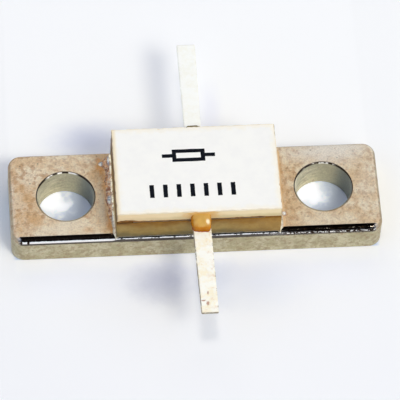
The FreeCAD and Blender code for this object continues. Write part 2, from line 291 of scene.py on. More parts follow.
class Effect:
    """A shader node group that several finishes share. It is built once, at its first use."""

    name: str
    inputs: dict[str, str]
    outputs: dict[str, str]

    def wire(self, graph: Graph, **given: Field) -> tuple[object, ...]:
        """Makes the group's nodes. Each effect has its own.

        Args:
            graph: The group's graph.
            given: The group's inputs.

        Returns:
            What goes to the group's outputs, in their order.
        """
        raise NotImplementedError

    def tree(self) -> bpy.types.NodeTree:
        """Gives the group's tree, and builds it the first time."""
        tree = bpy.data.node_groups.get(self.name)
        if not tree:
            tree = bpy.data.node_groups.new(self.name, "ShaderNodeTree")
            for direction, sockets in (("INPUT", self.inputs), ("OUTPUT", self.outputs)):
                for label, kind in sockets.items():
                    tree.interface.new_socket(label, in_out=direction, socket_type="NodeSocket" + kind)
            graph = Graph(tree)
            start = graph.add("NodeGroupInput").outputs
            made = self.wire(graph, **{label.lower(): Field(graph, start[label]) for label in self.inputs})
            graph.add("NodeGroupOutput", dict(zip(self.outputs, made)))
        return tree

    def use(self, graph: Graph, **values: object) -> list[Field]:
        """Places the group in a graph with its own values.

        Args:
            graph: The material's graph.
            values: What goes to the group's inputs, by name in small letters.

        Returns:
            The group's outputs.
        """
        inputs = {label.title(): value for label, value in values.items()}
        node = graph.add("ShaderNodeGroup", inputs, node_tree=self.tree())
        return [Field(graph, output) for output in node.outputs]


class Mottle(Effect):
    """Three close colours laid over each other in patches, with a fine grain."""

    name = "mottle"
    inputs = {"Place": "Vector", "First": "Color", "Second": "Color", "Third": "Color",
              "Patch": "Float", "Grain": "Float"}
    outputs = {"Color": "Color", "Grain": "Float"}

    def wire(self, graph: Graph, place: Field, first: Field, second: Field, third: Field, patch: Field,
             grain: Field) -> tuple[object, ...]:
        """Lays large patches and then small spots over the first colour.

        Args:
            graph: The group's graph.
            place: Position.
            first: The main colour.
            second: The colour of the larger patches.
            third: The colour of the smaller spots.
            patch: How many patches there are to a unit of the position.
            grain: How many grains there are to a unit of the position.

        Returns:
            The colour and the grain.
        """
        patches = graph.texture(place, patch, 3.0, 0.6).step(0.38, 0.62)
        spots = graph.texture(place, patch * 3.1, 2.0, 0.55).step(0.46, 0.66)
        colour = graph.mix(spots * 0.7, graph.mix(patches, first, second), third)
        return colour, graph.texture(place, grain, 2.0, 0.6)


class Blot(Effect):
    """An oval stain with a ragged, soft edge."""

    name = "blot"
    inputs = {"Place": "Vector", "Middle": "Vector", "Reach": "Vector", "Ragged": "Float", "Soft": "Float"}
    outputs = {"Mask": "Float"}

    def wire(self, graph: Graph, place: Field, middle: Field, reach: Field, ragged: Field,
             soft: Field) -> tuple[object, ...]:
        """Fades the mask out with the distance from the middle.

        Args:
            graph: The group's graph.
            place: Position.
            middle: The stain's middle.
            reach: How far it reaches along X, Y and Z.
            ragged: How far its edge wanders, as a share of its reach.
            soft: How wide its fading edge is, as a share of its reach.

        Returns:
            The mask.
        """
        scaled = graph.vector("DIVIDE", graph.vector("SUBTRACT", place, middle), reach)
        length = graph.add("ShaderNodeVectorMath", {0: scaled}, operation="LENGTH").outputs["Value"]
        shift = (graph.texture(scaled, 2.3, 4.0, 0.65) - 0.5) * ragged
        return (1.0 - (shift * 2.0 + length).step(1.0 - soft, 1.0),)


class Edges(Effect):
    """The edges of a box, with a width that wanders."""

    name = "edges"
    inputs = {"Place": "Vector", "Low": "Vector", "High": "Vector", "Width": "Float"}
    outputs = {"Mask": "Float"}

    def wire(self, graph: Graph, place: Field, low: Field, high: Field, width: Field) -> tuple[object, ...]:
        """Takes the second smallest of the distances to the box's faces.

        Args:
            graph: The group's graph.
            place: Position.
            low: Lowest corner of the box.
            high: Highest corner of the box.
            width: Rough width of the mask on each face.

        Returns:
            The mask.
        """
        sides = graph.vector("SUBTRACT", place, low), graph.vector("SUBTRACT", high, place)
        x, y, z = graph.split(graph.vector("MINIMUM", *sides))
        second = (x & y) | ((x | y) & z)
        reach = width * (graph.texture(place, 1 / 0.35, 3.0) * 2.0)
        return (second.step(reach, 0.0),)


class Pits(Effect):
    """Small scattered pits or specks."""

    name = "pits"
    inputs = {"Place": "Vector", "Scale": "Float", "Size": "Float"}
    outputs = {"Mask": "Float"}

    def wire(self, graph: Graph, place: Field, scale: Field, size: Field) -> tuple[object, ...]:
        """Puts a pit in the middle of some of a pattern's cells.

        Args:
            graph: The group's graph.
            place: Position.
            scale: How many cells there are to a unit of the position.
            size: Radius of the largest pit as a share of a cell.

        Returns:
            The mask.
        """
        cells = graph.add("ShaderNodeTexVoronoi", {"Vector": place, "Scale": scale, "Randomness": 1.0})
        chance = graph.field("ShaderNodeSeparateColor", {0: cells.outputs["Color"]})
        radius = size * chance.step(0.55, 1.0)
        return (Field(graph, cells.outputs["Distance"]).step(radius, radius * 0.5),)


class Surface(Graph):
    """A material's graph, with its shader and with the place on the part in millimetres."""

    def __init__(self, tree: bpy.types.NodeTree, settings: dict[str, float]) -> None:
        """Adds the shader, its output and the place.

        Args:
            tree: The material's node tree.
            settings: The shader's plain inputs.
        """
        super().__init__(tree)
        self.shader = self.add("ShaderNodeBsdfPrincipled", settings)
        self.add("ShaderNodeOutputMaterial", {"Surface": self.shader.outputs[0]})
        metres = self.add("ShaderNodeTexCoord").outputs["Object"]
        self.place = self.vector("DIVIDE", metres, (MM, MM, MM))
        self.x, self.y, self.z = self.split(self.place)

    def link(self, **values: object) -> None:
        """Links values to the shader's inputs, whose names are written like base_color."""
        for name, value in values.items():
            self.feed(self.shader.inputs[name.replace("_", " ").title()], value)

    def bump(self, height: Field, depth: float) -> None:
        """Lets a height from 0 to 1 feed the shader's normal, where 1 stands for a depth."""
        node = self.add("ShaderNodeBump", {"Height": height, "Strength": 1.0, "Distance": depth * MM})
        self.link(normal=node.outputs[0])

    def noise(self, size: float, detail: float = 2.0, rough: float = 0.5) -> Field:
        """Gives smooth noise from about 0 to 1, with patches of a size."""
        return self.texture(self.place, 1 / size, detail, rough)

    def wandering(self, value: Field, cloud: Field, reach: float) -> Field:
        """Shifts a value to and fro by a cloud from 0 to 1, over a reach in all."""
        return (cloud - 0.5) * reach + value

    def from_hole(self, shift_x: float = 0.0, shift_y: float = 0.0) -> Field:
        """Gives the distance from the nearer fixing hole's axis, or from a shifted one."""
        across, along = abs(self.x - shift_x) - HOLE_MIDDLE, self.y - shift_y
        return self.math("SQRT", across * across + along * along)

    def mottle(self, first: Colour, second: Colour, third: Colour, patch: float,
               grain: float) -> list[Field]:
        """Lays three close colours over each other in patches, with a fine grain.

        Args:
            first: The main colour.
            second: The colour of the larger patches.
            third: The colour of the smaller patches.
            patch: Size of a large patch.
            grain: Size of a grain.

        Returns:
            The colour and the grain.
        """
        return Mottle().use(self, place=self.place, first=first, second=second, third=third,
                            patch=1 / patch, grain=1 / grain)

    def blot(self, middle: tuple, reach: tuple, ragged: float, soft: float) -> Field:
        """Gives the mask of one stain.

        Args:
            middle: The stain's middle.
            reach: How far it reaches along X, Y and Z.
            ragged: How far its edge wanders, as a share of its reach.
            soft: How wide its fading edge is, as a share of its reach.

        Returns:
            The mask.
        """
        return Blot().use(self, place=self.place, middle=middle, reach=reach, ragged=ragged, soft=soft)[0]

    def patched(self, colour: object, patches: tuple[Patch, ...], z: float, tall: float, ragged: float,
                soft: float) -> Socket:
        """Lays stains over a colour.

        Args:
            colour: What they are laid on.
            patches: The stains.
            z: Height of their middles.
            tall: How far they reach along Z.
            ragged: How far their edges wander, as a share of their reach.
            soft: How wide their fading edges are, as a share of their reach.

        Returns:
            The stained colour.
        """
        for patch in patches:
            mask = self.blot((patch.x, patch.y, z), (patch.wide, patch.deep, tall), ragged, soft)
            colour = self.lay(colour, mask, patch.tint)
        return colour

    def edges(self, low: Vector, high: Vector, width: float) -> Field:
        """Gives the mask of a box's edges, with a rough width on each face."""
        return Edges().use(self, place=self.place, low=low, high=high, width=width)[0]

    def pits(self, spacing: float, size: float) -> Field:
        """Gives the mask of scattered pits, where size is the largest radius as a share of the spacing."""
        return Pits().use(self, place=self.place, scale=1 / spacing, size=size)[0]


@dataclass(frozen=True)
class Finish:
    """What every finish has: its name and the numbers that are the same all over the surface."""

    name: str
    metallic: float = 0.0
    roughness: float = 0.5
    specular: float = 0.5

    def material(self) -> bpy.types.Material:
        """Gives the finish as a material, and builds it the first time."""
        known = bpy.data.materials.get("finish_" + self.name)
        if known:
            return known
        made = bpy.data.materials.new("finish_" + self.name)
        made.use_nodes = True
        made.node_tree.nodes.clear()
        self.paint(Surface(made.node_tree, {"Metallic": self.metallic, "Roughness": self.roughness,
                                            "Specular IOR Level": self.specular}))
        return made

    def paint(self, on: Surface) -> None:
        """Links what changes over the surface. Each finish has its own.

        Args:
            on: The material's graph.
        """
        raise NotImplementedError


PALE_NICKEL = screen(253, 238, 210)
SILVERY_NICKEL = screen(255, 248, 236)
RUST_STAIN = screen(218, 166, 106)
FLUX_STAIN = screen(242, 172, 88)


@dataclass(frozen=True)
class NickelPlate(Finish):
    """Matt champagne nickel over a blanked flange: bright on the rolled edge, stained by the block, with
    painted shade and painted reflections on its edges and holes.
    """

    warm: Colour = screen(236, 205, 163)
    pale: Colour = PALE_NICKEL
    pink: Colour = screen(198, 154, 114)
    olive: Colour = screen(177, 167, 133)
    olive_pale: Colour = screen(198, 190, 160)
    olive_pink: Colour = screen(158, 140, 110)
    cool: Tint = tint(222, 204, 170, 0.25)
    bore: Tint = tint(211, 205, 176, 0.8)
    # Holes' walls: painted light on the left, painted shade on the right.
    bore_painted_light: Tint = tint(246, 238, 210)
    bore_painted_shade: Tint = tint(96, 112, 116, 0.75)
    # Painted shade along the plate's rounded top edges.
    edge_shade: Tint = tint(96, 84, 62, 0.6)
    speck: Tint = tint(150, 98, 66, 0.3)
    pit: Tint = tint(50, 38, 28, 0.45)
    # bright: the burnished roll's pale metal, and the painted glints on the holes' rims.
    bright: Tint = tint(252, 250, 246)
    # shade: the colour of the painted dark reflections on the roll and the rims.
    shade: Tint = tint(50, 38, 28)
    patches: tuple[Patch, ...] = (
        Patch(-7.4, -2.2, 3.4, 1.0, Tint(PALE_NICKEL, 0.85)),
        Patch(8.0, 2.5, 3.8, 1.3, Tint(SILVERY_NICKEL)),
        Patch(10.0, 0.2, 1.0, 2.2, Tint(SILVERY_NICKEL, 0.2)),
        Patch(-7.4, 2.4, 3.0, 0.8, Tint(PALE_NICKEL, 0.4)),
        Patch(7.6, -2.3, 3.0, 0.7, Tint(PALE_NICKEL, 0.6)),
        Patch(-6.3, -2.3, 0.5, 0.3, Tint(RUST_STAIN, 0.5)),
        Patch(-9.3, -1.6, 0.8, 0.5, Tint(RUST_STAIN, 0.5)),
        Patch(-10.0, -0.4, 1.3, 2.8, Tint(RUST_STAIN, 0.35)))
    # Flux stains beside the block. The large pale one and the pale nickel one are also painted light,
    # lightening the block's shadow on the plate.
    stains_and_painted_light: tuple[Patch, ...] = (
        Patch(-4.85, 0.3, 1.2, 3.8, tint(255, 212, 152, 0.8)),
        Patch(-5.47, -0.9, 0.38, 1.7, Tint(PALE_NICKEL, 0.7)),
        Patch(-5.37, 2.0, 0.45, 0.75, Tint(FLUX_STAIN, 0.8)),
        Patch(-5.1, 0.7, 0.35, 1.0, Tint(FLUX_STAIN, 0.7)),
        Patch(-5.0, -1.9, 0.35, 1.0, Tint(FLUX_STAIN, 0.75)),
        Patch(4.75, -0.2, 0.7, 3.6, Tint(RUST_STAIN, 0.8)))
    corner: float = 0.75
    hole_radius: float = 1.6
    border_fade: Ramp = (0.20, 0.08)
    border_depth: Ramp = (0.33, 0.297)
    side_depth: Ramp = (0.3135, 0.3465)
    wall_fade: Ramp = (0.09, 0.06)
    bore_fade: Ramp = (0.3, 0.2)
    bore_stretch: tuple[float, float, float] = (0.5, 0.5, 3.0)
    bore_lit: Ramp = (0.8, -1.2)
    bore_dimmed: Ramp = (0.5, 1.4)
    roll_start: Ramp = (0.38, 0.35)
    roll_depth: Ramp = (0.3366, 0.3234)
    end_gap: Ramp = (0.3, 0.56)
    end_fray: float = 0.4
    block_end: Ramp = (5.0, 4.6)
    line_depth: float = 0.2376
    line_rise: float = 0.07
    line_soft: float = 0.02
    line_foot: Ramp = (0.4125, 0.3927)
    line_share: float = 0.92
    bead_fade: Ramp = (3.4, 5.4)
    bead_share: float = 0.45
    fray_share: float = 0.85
    gap_fray: float = 0.1
    gap_corner: Ramp = (-10.12, -10.16)
    gap_beside: Ramp = (-9.87, -9.72)
    gap_soft: float = 0.04
    gap_depth: Ramp = (0.06, 0.1)
    crest_depth: Ramp = (0.13, 0.1)
    crest_share: float = 0.7
    right_end: Ramp = (4.6, 5.4)
    right_depth: Ramp = (0.2, 0.17)
    rim_depth: Ramp = (0.13, 0.117)
    rim_inner: float = 0.06
    rim_back: Ramp = (0.2, 1.2)
    rim_back_shift: float = -0.05
    rim_soft: float = 0.02
    rim_outer: Ramp = (0.14, 0.12)
    rim_front: Ramp = (-0.3, -1.2)
    rim_front_share: float = 0.45
    glint_span: Ramp = (-1.05, 0.75)
    glint_soft: float = 0.3
    glint_back: Ramp = (0.8, 1.2)
    glint_outer: Ramp = (0.1, 0.08)
    wave_size: float = 0.5
    relief: float = 0.02

    def paint(self, on: Surface) -> None:
        """Links the plate's colour, brightness and grain.

        Args:
            on: The material's graph.
        """
        high = corners("flange")[1]
        depth = high.z - on.z
        from_wall = on.from_hole() - self.hole_radius
        colour, grain = self.plate(on, high.z)
        colour = self.bores(on, depth, colour, from_wall)
        on_roll, painted_dark_roll = self.rolled_front(on, depth, high)
        painted_glints, painted_dark_rims = self.rims(on, depth, from_wall)

        # Painted shade on the plate's rounded top edges.
        at_shaded_edge = self.edge_distance(on, high).step(*self.border_fade) * depth.step(*self.border_depth)
        colour = on.lay(colour, at_shaded_edge, self.edge_shade)
        foot = corners("ceramic_block")[0].z
        # Flux stains, partly painted light over the block's shadow.
        colour = on.patched(colour, self.stains_and_painted_light, foot, tall=0.7, ragged=0.7, soft=0.85)
        colour = on.lay(colour, on.noise(0.24, 2.0, 0.6).step(0.58, 0.72), self.speck)
        colour = on.lay(colour, on.pits(spacing=0.5, size=0.14), self.pit)
        shading = grain * 0.26 + 0.87
        tone = on.field("ShaderNodeCombineColor", {0: shading, 1: shading, 2: shading})
        colour = on.mix(1.0, colour, tone, "MULTIPLY")
        # The burnished roll's pale metal, and the painted glints on the holes' rims.
        colour = on.lay(colour, on_roll | painted_glints, self.bright)
        # Painted dark reflections on the front roll, and painted dark lines round the holes' rims.
        colour = on.lay(colour, painted_dark_roll | painted_dark_rims, self.shade)
        on.link(base_color=colour, roughness=on_roll * -0.40 + 0.5, metallic=on_roll * 0.65 + 0.35)
        waves = on.noise(self.wave_size, 3.0, 0.7) * on_roll
        on.bump(waves + grain * ((1.0 - on_roll) * 0.2), self.relief)

    def plate(self, on: Surface, top: float) -> tuple[Socket, Field]:
        """Makes the plain plate, warm and pale on top.

        Args:
            on: The material's graph.
            top: Height of the plate's top.

        Returns:
            The colour and the grain.
        """
        colour, grain = on.mottle(self.warm, self.pale, self.pink, patch=1.0, grain=0.09)
        colour = on.patched(colour, self.patches, top, tall=3.0, ragged=0.6, soft=0.85)
        return on.lay(colour, on.x.step(0.0, 8.0), self.cool), grain.step(0.2, 0.8)

    def bores(self, on: Surface, depth: Field, colour: Socket, from_wall: Field) -> Socket:
        """Lays the olive of the plate's sides and of the holes' walls over a colour, with a painted light
        streak on each wall's left and painted shade on its right.

        Args:
            on: The material's graph.
            depth: Distance below the plate's top.
            colour: The plate's colour on top.
            from_wall: Distance outside the nearer hole's wall.

        Returns:
            The colour of the whole plate.
        """
        below = depth.step(*self.side_depth) | from_wall.step(*self.wall_fade)
        in_bore = from_wall.step(*self.bore_fade)
        across = self.across_hole(on)
        stretched = on.vector("MULTIPLY", on.place, self.bore_stretch)
        streak = on.texture(stretched, 2.0, 3.0, 0.6).step(0.35, 0.7)
        walls, _ = on.mottle(self.olive, self.olive_pale, self.olive_pink, patch=0.8, grain=0.08)
        walls = on.lay(walls, in_bore, self.bore)
        # Painted light streak on the left of each hole's wall, painted shade on its right.
        walls = on.lay(walls, across.step(*self.bore_lit) * streak * in_bore, self.bore_painted_light)
        walls = on.lay(walls, across.step(*self.bore_dimmed) * in_bore, self.bore_painted_shade)
        return on.mix(below, colour, walls)

    def across_hole(self, on: Surface) -> Field:
        """Gives how far a place lies to the right of the nearer hole's middle."""
        return on.x - on.math("SIGN", on.x) * HOLE_MIDDLE

    def rolled_front(self, on: Surface, depth: Field, high: Vector) -> tuple[Field, Field]:
        """Gives where the tool left the front edge's roll bright, and the painted dark reflections beside
        and on it.

        Args:
            on: The material's graph.
            depth: Distance below the plate's top.
            high: The plate's highest corner.

        Returns:
            The masks of the bright roll and of the painted dark reflections.
        """
        fine = on.noise(0.1, 1.0)
        inset = (high.x - on.wandering(abs(on.x), fine, self.end_fray)).step(*self.end_gap)
        along = (on.y + high.y).step(*self.roll_start) * inset
        on_roll = along * depth.step(*self.roll_depth)

        # Painted dark reflections of the room: a thin line under the roll, breaks in its bright line, gaps
        # at its left end, a band along its crest and a band at its right end.
        under_block = abs(on.x).step(*self.block_end)
        line_top = self.line_depth - under_block * self.line_rise
        line = depth.step(line_top, line_top + self.line_soft) * depth.step(*self.line_foot)
        beads = fine.step(0.44, 0.5) * on.x.step(*self.bead_fade)
        line = line * along * (self.line_share - beads * self.bead_share)

        painted_breaks = on.noise(0.24, 2.0, 0.6).step(0.5, 0.58) * under_block
        start = on.wandering(on.x, fine, self.gap_fray)
        gap = start.step(*self.gap_corner) | start.between(*self.gap_beside, self.gap_soft)
        gap = gap * depth.step(*self.gap_depth)
        painted_dark_crest = depth.step(*self.crest_depth)
        painted_dark_right_end = depth.step(*self.right_depth) * on.x.step(*self.right_end)
        toned_down = beads | gap | (painted_breaks | painted_dark_right_end) * self.fray_share | painted_dark_crest * self.crest_share
        return on_roll, toned_down * on_roll | line

    def rims(self, on: Surface, depth: Field, from_wall: Field) -> tuple[Field, Field]:
        """Gives the painted glints and the painted dark line on the holes' rims.

        Args:
            on: The material's graph.
            depth: Distance below the plate's top.
            from_wall: Distance outside the nearer hole's wall.

        Returns:
            The masks of the painted glints and of the painted dark line.
        """
        inner = on.y.step(*self.rim_back) * self.rim_back_shift + self.rim_inner
        on_rim = from_wall.step(inner, inner + self.rim_soft) * from_wall.step(*self.rim_outer)
        on_rim = on_rim * depth.step(*self.rim_depth)
        # Painted dark reflection round each rim, weaker at the front.
        painted_dark_ring = on_rim * (1.0 - on.y.step(*self.rim_front) * self.rim_front_share)
        spanned = self.across_hole(on).between(*self.glint_span, self.glint_soft)
        at_back = on.y.step(*self.glint_back) * from_wall.step(*self.glint_outer)
        # Painted glints: matt white patches at the back of each rim that read bright whatever it reflects.
        painted_glints = on_rim * at_back * spanned * on.noise(0.3, 1.0).step(0.6, 0.54)
        return painted_glints, painted_dark_ring * (1.0 - painted_glints)

    def edge_distance(self, on: Surface, high: Vector) -> Field:
        """Gives how far a place lies inside the plate's rounded outline.

        Args:
            on: The material's graph.
            high: The plate's highest corner.

        Returns:
            The distance.
        """
        past_x, past_y = abs(on.x) - (high.x - self.corner), abs(on.y) - (high.y - self.corner)
        outer_x, outer_y = past_x | 0.0, past_y | 0.0
        rounded = on.math("SQRT", outer_x * outer_x + outer_y * outer_y)
        return self.corner - (rounded + ((past_x | past_y) & 0.0))


@dataclass(frozen=True)
class Solder(Finish):
    """Bright tin-lead solder close to the block, under brown flux further out, with painted glints on its
    lumps and in its flux.
    """

    metal: Colour = screen(255, 244, 212)
    grey: Colour = screen(178, 184, 188)
    painted_glint: Colour = screen(255, 252, 240)
    flux: Colour = screen(255, 200, 142)
    burnt: Colour = screen(162, 110, 82)
    # Small painted glints in the flux.
    painted_rosy_glint: Colour = screen(255, 240, 212)
    tan: Colour = screen(226, 192, 148)
    burnt_share: float = 0.8
    clean: float = 0.07
    clean_wander: float = 0.08
    clean_corner: float = 0.09
    clean_fade: Ramp = (-0.01, 0.01)
    corner_fade: Ramp = (-0.9, -2.2)
    corner_dull: float = 0.7
    coated_dull: float = 0.95
    # Bare lumps, each with a painted glint and a painted dark ring round it.
    bare_glint_spots: tuple[tuple[float, float, float, float], ...] = (
        (-5.36, 2.14, 0.16, 0.2), (-5.16, 2.58, 0.1, 0.18), (-4.88, 2.3, 0.12, 0.42),
        (-5.0, -0.36, 0.14, 0.36), (5.06, -1.76, 0.14, 0.16))
    ring: tuple[float, float] = (1.8, 1.4)
    relief: float = 0.02

    def paint(self, on: Surface) -> None:
        """Links the clean metal, the flux over it, and the bare lumps with their painted glints and painted
        dark rings.

        Args:
            on: The material's graph.
        """
        low, high = corners("ceramic_block")
        cloud = on.noise(0.4, 4.0, 0.65)
        corner = on.y.step(*self.corner_fade)
        reach = cloud * self.clean_wander + self.clean + corner * self.clean_corner
        coated = (abs(on.x) - high.x - reach).step(*self.clean_fade)
        bare_with_painted_glints = painted_dark_ring = coated * 0.0
        for x, y, wide, deep in self.bare_glint_spots:
            middle, around = (x, y, low.z), (self.ring[0] * wide, self.ring[1] * deep, 0.5)
            bare_with_painted_glints = bare_with_painted_glints | on.blot(middle, (wide, deep, 0.5), ragged=0.6, soft=0.5)
            painted_dark_ring = painted_dark_ring | on.blot(middle, around, ragged=0.9, soft=0.6)
        brown, _ = on.mottle(self.flux, self.burnt, self.painted_rosy_glint, patch=0.36, grain=0.05)
        brown = on.mix(on.x.step(-1.0, 1.0), brown, self.tan)
        # Painted dark rings round the lumps' glints.
        brown = on.lay(brown, painted_dark_ring, Tint(self.burnt, self.burnt_share))
        # Painted glints: matt white spots on the bare lumps.
        grey_with_painted_glints = on.mix(on.noise(0.16, 1.0).step(0.42, 0.52), self.grey, self.painted_glint)
        breaks = on.noise(0.34, 3.0, 0.7).step(0.5, 0.58) * (corner * -0.2 + 0.7)
        metal = on.mix(coated, on.mix(breaks, self.metal, self.burnt), grey_with_painted_glints)
        # Matt under the flux and on the bare lumps. Also less metallic at the front corners, so the clean
        # metal there reads as a painted highlight.
        toned_down = coated * self.coated_dull | corner * self.corner_dull
        on.link(base_color=on.mix(coated * (1.0 - bare_with_painted_glints), metal, brown), metallic=1.0 - toned_down,
                roughness=coated * 0.2 + 0.2)
        on.bump(cloud * (coated + 0.1), self.relief)


@dataclass(frozen=True)
class StainedCeramic(Finish):
    """The ceramic block, stained brown and olive by flux, with painted shade that makes it darkest under
    the cover.
    """

    # The upper band is partly painted shade under the cover's overhang.
    upper: Colour = screen(142, 101, 34)
    middle: Colour = screen(157, 131, 72)
    lower: Colour = screen(120, 105, 63)
    right_end: Tint = tint(174, 132, 58, 0.55)
    # dark: painted shade along the block's top, under the cover.
    dark: Tint = tint(60, 40, 28)
    clouds: tuple[Colour, Colour, Colour] = (
        screen(255, 255, 255), screen(236, 232, 226), screen(244, 236, 226))
    lower_band: Ramp = (0.1, 0.45)
    upper_band: Ramp = (0.55, 0.9)
    wander: float = 0.9
    right_start: float = 1.0
    left_start: float = -3.0
    rim: Ramp = (0.14, 0.02)
    relief: float = 0.006

    def paint(self, on: Surface) -> None:
        """Links the stain's bands and clouds, and the painted shade under the cover.

        Args:
            on: The material's graph.
        """
        low, high = corners("ceramic_block")
        cloud = on.noise(1.6, 3.0, 0.6)
        height = on.wandering(on.z, cloud, self.wander)
        bands = [[low.z + share * (high.z - low.z) for share in band]
                 for band in (self.lower_band, self.upper_band)]
        colour = on.mix(height.step(*bands[0]), self.lower, self.middle)
        colour = on.mix(height.step(*bands[1]), colour, self.upper)
        colour = on.lay(colour, on.x.step(self.right_start, high.x), self.right_end)
        # Painted shade under the cover, stronger towards the left end.
        shade_strength = on.x.step(self.left_start, low.x) * 0.5 + 0.2
        colour = on.lay(colour, (high.z - on.z).step(*self.rim) * shade_strength, self.dark)
        look, grain = on.mottle(*self.clouds, patch=0.5, grain=0.07)
        on.link(base_color=on.mix(1.0, colour, look, "MULTIPLY"), roughness=cloud * 0.3 + 0.35)
        on.bump(grain, self.relief)


@dataclass(frozen=True)
class WhiteCeramic(Finish):
    """The white cover: clean on top, cream to tan down its sides, with tan chipped edges."""

    top: Colour = screen(250, 249, 244)
    top_grey: Colour = screen(247, 246, 242)
    side_upper: Colour = screen(239, 220, 178)
    side_lower: Colour = screen(214, 194, 145)
    cream: Tint = tint(250, 244, 227, 0.9)
    left_share: float = 0.7
    peach: Tint = tint(234, 204, 160, 0.6)
    amber: Tint = tint(224, 178, 104, 0.9)
    edge: Tint = tint(206, 180, 140, 0.55)
    # Dark end faces: partly stain, partly painted shade.
    end_stain_and_shade: Tint = tint(128, 98, 70, 0.85)
    wander: float = 0.35
    border_width: float = 0.45
    edge_width: float = 0.09
    lower_from: float = 0.1
    upper_from: float = 0.25
    peach_from: float = 1.0
    end_fade: Ramp = (0.06, 0.02)
    left_fade: Ramp = (0.3, 0.03)
    side_depth: Ramp = (0.03, 0.06)
    relief: float = 0.003

    def paint(self, on: Surface) -> None:
        """Links the cover's stain, edge line and grain, and the stain and painted shade on its end faces.

        Args:
            on: The material's graph.
        """
        low, high = corners("ceramic_cover")
        height = on.wandering(on.z, on.noise(0.9, 3.0, 0.6), self.wander)
        rising = height.step(low.z + self.lower_from, high.z - self.upper_from)
        sides = on.mix(rising, self.side_lower, self.side_upper)
        sides = on.lay(sides, on.x.step(self.peach_from, low.x), self.peach)
        stain = on.blot((0.15, low.y, low.z + 0.45), reach=(1.5, 0.5, 0.6), ragged=0.5, soft=0.7)
        sides = on.lay(sides, stain, self.amber)
        # End faces darkened: partly stain, partly painted shade.
        sides = on.lay(sides, (high.x - abs(on.x)).step(*self.end_fade), self.end_stain_and_shade)
        top, grain = on.mottle(self.top, self.top_grey, self.top, patch=1.2, grain=0.05)
        top = on.lay(top, on.edges(low, high, self.border_width), self.cream)
        at_left = (on.x - low.x).step(*self.left_fade)
        top = on.lay(top, at_left, Tint(self.side_upper, self.left_share))
        colour = on.mix((high.z - on.z).step(*self.side_depth), top, sides)
        on.link(base_color=on.lay(colour, on.edges(low, high, self.edge_width), self.edge))
        on.bump(grain, self.relief)


@dataclass(frozen=True)
class SilverPlate(Finish):
    """Satin silver plate on a lead, with copper showing through in places and along its cut edges."""

    silver: Colour = screen(255, 253, 243)
    cream: Colour = screen(252, 243, 216)
    tan: Colour = screen(226, 192, 150)
    brown: Colour = screen(96, 80, 58)
    worn: float = 1.0
    edge_share: float = 0.8
    left_edge: Ramp = (-0.86, -0.93)
    right_edge: Ramp = (0.88, 0.95)
    right_share: float = 0.7
    tip_cut: Ramp = (0.08, 0.04)
    relief: float = 0.008
    marks: tuple[Patch, ...] = ()
    node: str = "lead_front"

    def paint(self, on: Surface) -> None:
        """Links the plate's tint, worn spots and cut edges.

        Args:
            on: The material's graph.
        """
        low, high = corners(self.node)
        side = Field(on, on.add("ShaderNodeAttribute", attribute_name="across").outputs["Fac"])
        colour, _ = on.mottle(self.silver, self.cream, self.silver, patch=0.7, grain=0.06)
        cloud = on.noise(0.3, 4.0, 0.7)
        tinted = cloud.step(0.5, 0.66) * side.step(-0.3, 0.7)
        specks = on.noise(0.12, 2.0, 0.6).step(0.62, 0.74)
        colour = on.lay(colour, tinted * 0.45 | specks * 0.35, Tint(self.tan, self.worn))
        colour = on.patched(colour, self.marks, high.z, tall=0.3, ragged=1.0, soft=0.6)
        left = side.step(*self.left_edge) * cloud.step(0.36, 0.46)
        right = side.step(*self.right_edge) * cloud.step(0.5, 0.6) * self.right_share
        tip = max(low.y, high.y, key=abs)
        cut = abs(on.y - tip).step(*self.tip_cut) * cloud.step(0.3, 0.5)
        colour = on.lay(colour, left | right | cut, Tint(self.brown, self.edge_share * self.worn))
        on.link(base_color=colour)
        on.bump(on.noise(0.25, 3.0, 0.6), self.relief)


@dataclass(frozen=True)
class AmberEpoxy(Finish):
    """Glossy amber epoxy, redder where it is thick and at its foot."""

    thin: Colour = screen(212, 167, 88)
    amber: Colour = screen(190, 120, 18)
    deep: Colour = screen(162, 90, 6)
    red: Tint = tint(150, 62, 16, 0.8)
    # A painted highlight on the bead's upper right.
    painted_highlight: Patch = Patch(0.43, -3.41, 0.15, 0.2, tint(255, 240, 206, 0.9))
    painted_highlight_height: float = 4.13
    thin_from: Ramp = (0.52, 0.3)
    deep_from: Ramp = (0.3, 0.1)
    foot_from: Ramp = (0.09, 0.0)
    wander: float = 0.3
    relief: float = 0.035

    def paint(self, on: Surface) -> None:
        """Links the epoxy's depth of colour, its flow marks and a painted highlight.

        Args:
            on: The material's graph.
        """
        base = corners("lead_front")[1].z
        cloud = on.noise(0.35, 3.0, 0.6)
        height = on.wandering(on.z, cloud, self.wander)
        amber, deep, foot = (height.step(base + start, base + end)
                             for start, end in (self.thin_from, self.deep_from, self.foot_from))
        colour = on.mix(deep, on.mix(amber, self.thin, self.amber), self.deep)
        colour = on.lay(colour, foot, self.red)
        # Painted highlight.
        colour = on.patched(colour, (self.painted_highlight,), self.painted_highlight_height, tall=0.3, ragged=0.6, soft=0.7)
        on.link(base_color=colour, roughness=cloud * 0.2 + 0.05)
        on.bump(cloud, self.relief)


@dataclass(frozen=True)
class Plain(Finish):
    """A finish with one mottled colour, for films, adhesive and ink."""

    first: Colour = screen(200, 200, 196)
    second: Colour = screen(180, 180, 178)
    patch: float = 0.4
    grain: float = 0.05
    relief: float = 0.004

    def paint(self, on: Surface) -> None:
        """Links the mottled colour and a fine relief.

        Args:
            on: The material's graph.
        """
        look, grain = on.mottle(self.first, self.second, self.first, self.patch, self.grain)
        on.link(base_color=look)
        on.bump(grain, self.relief)


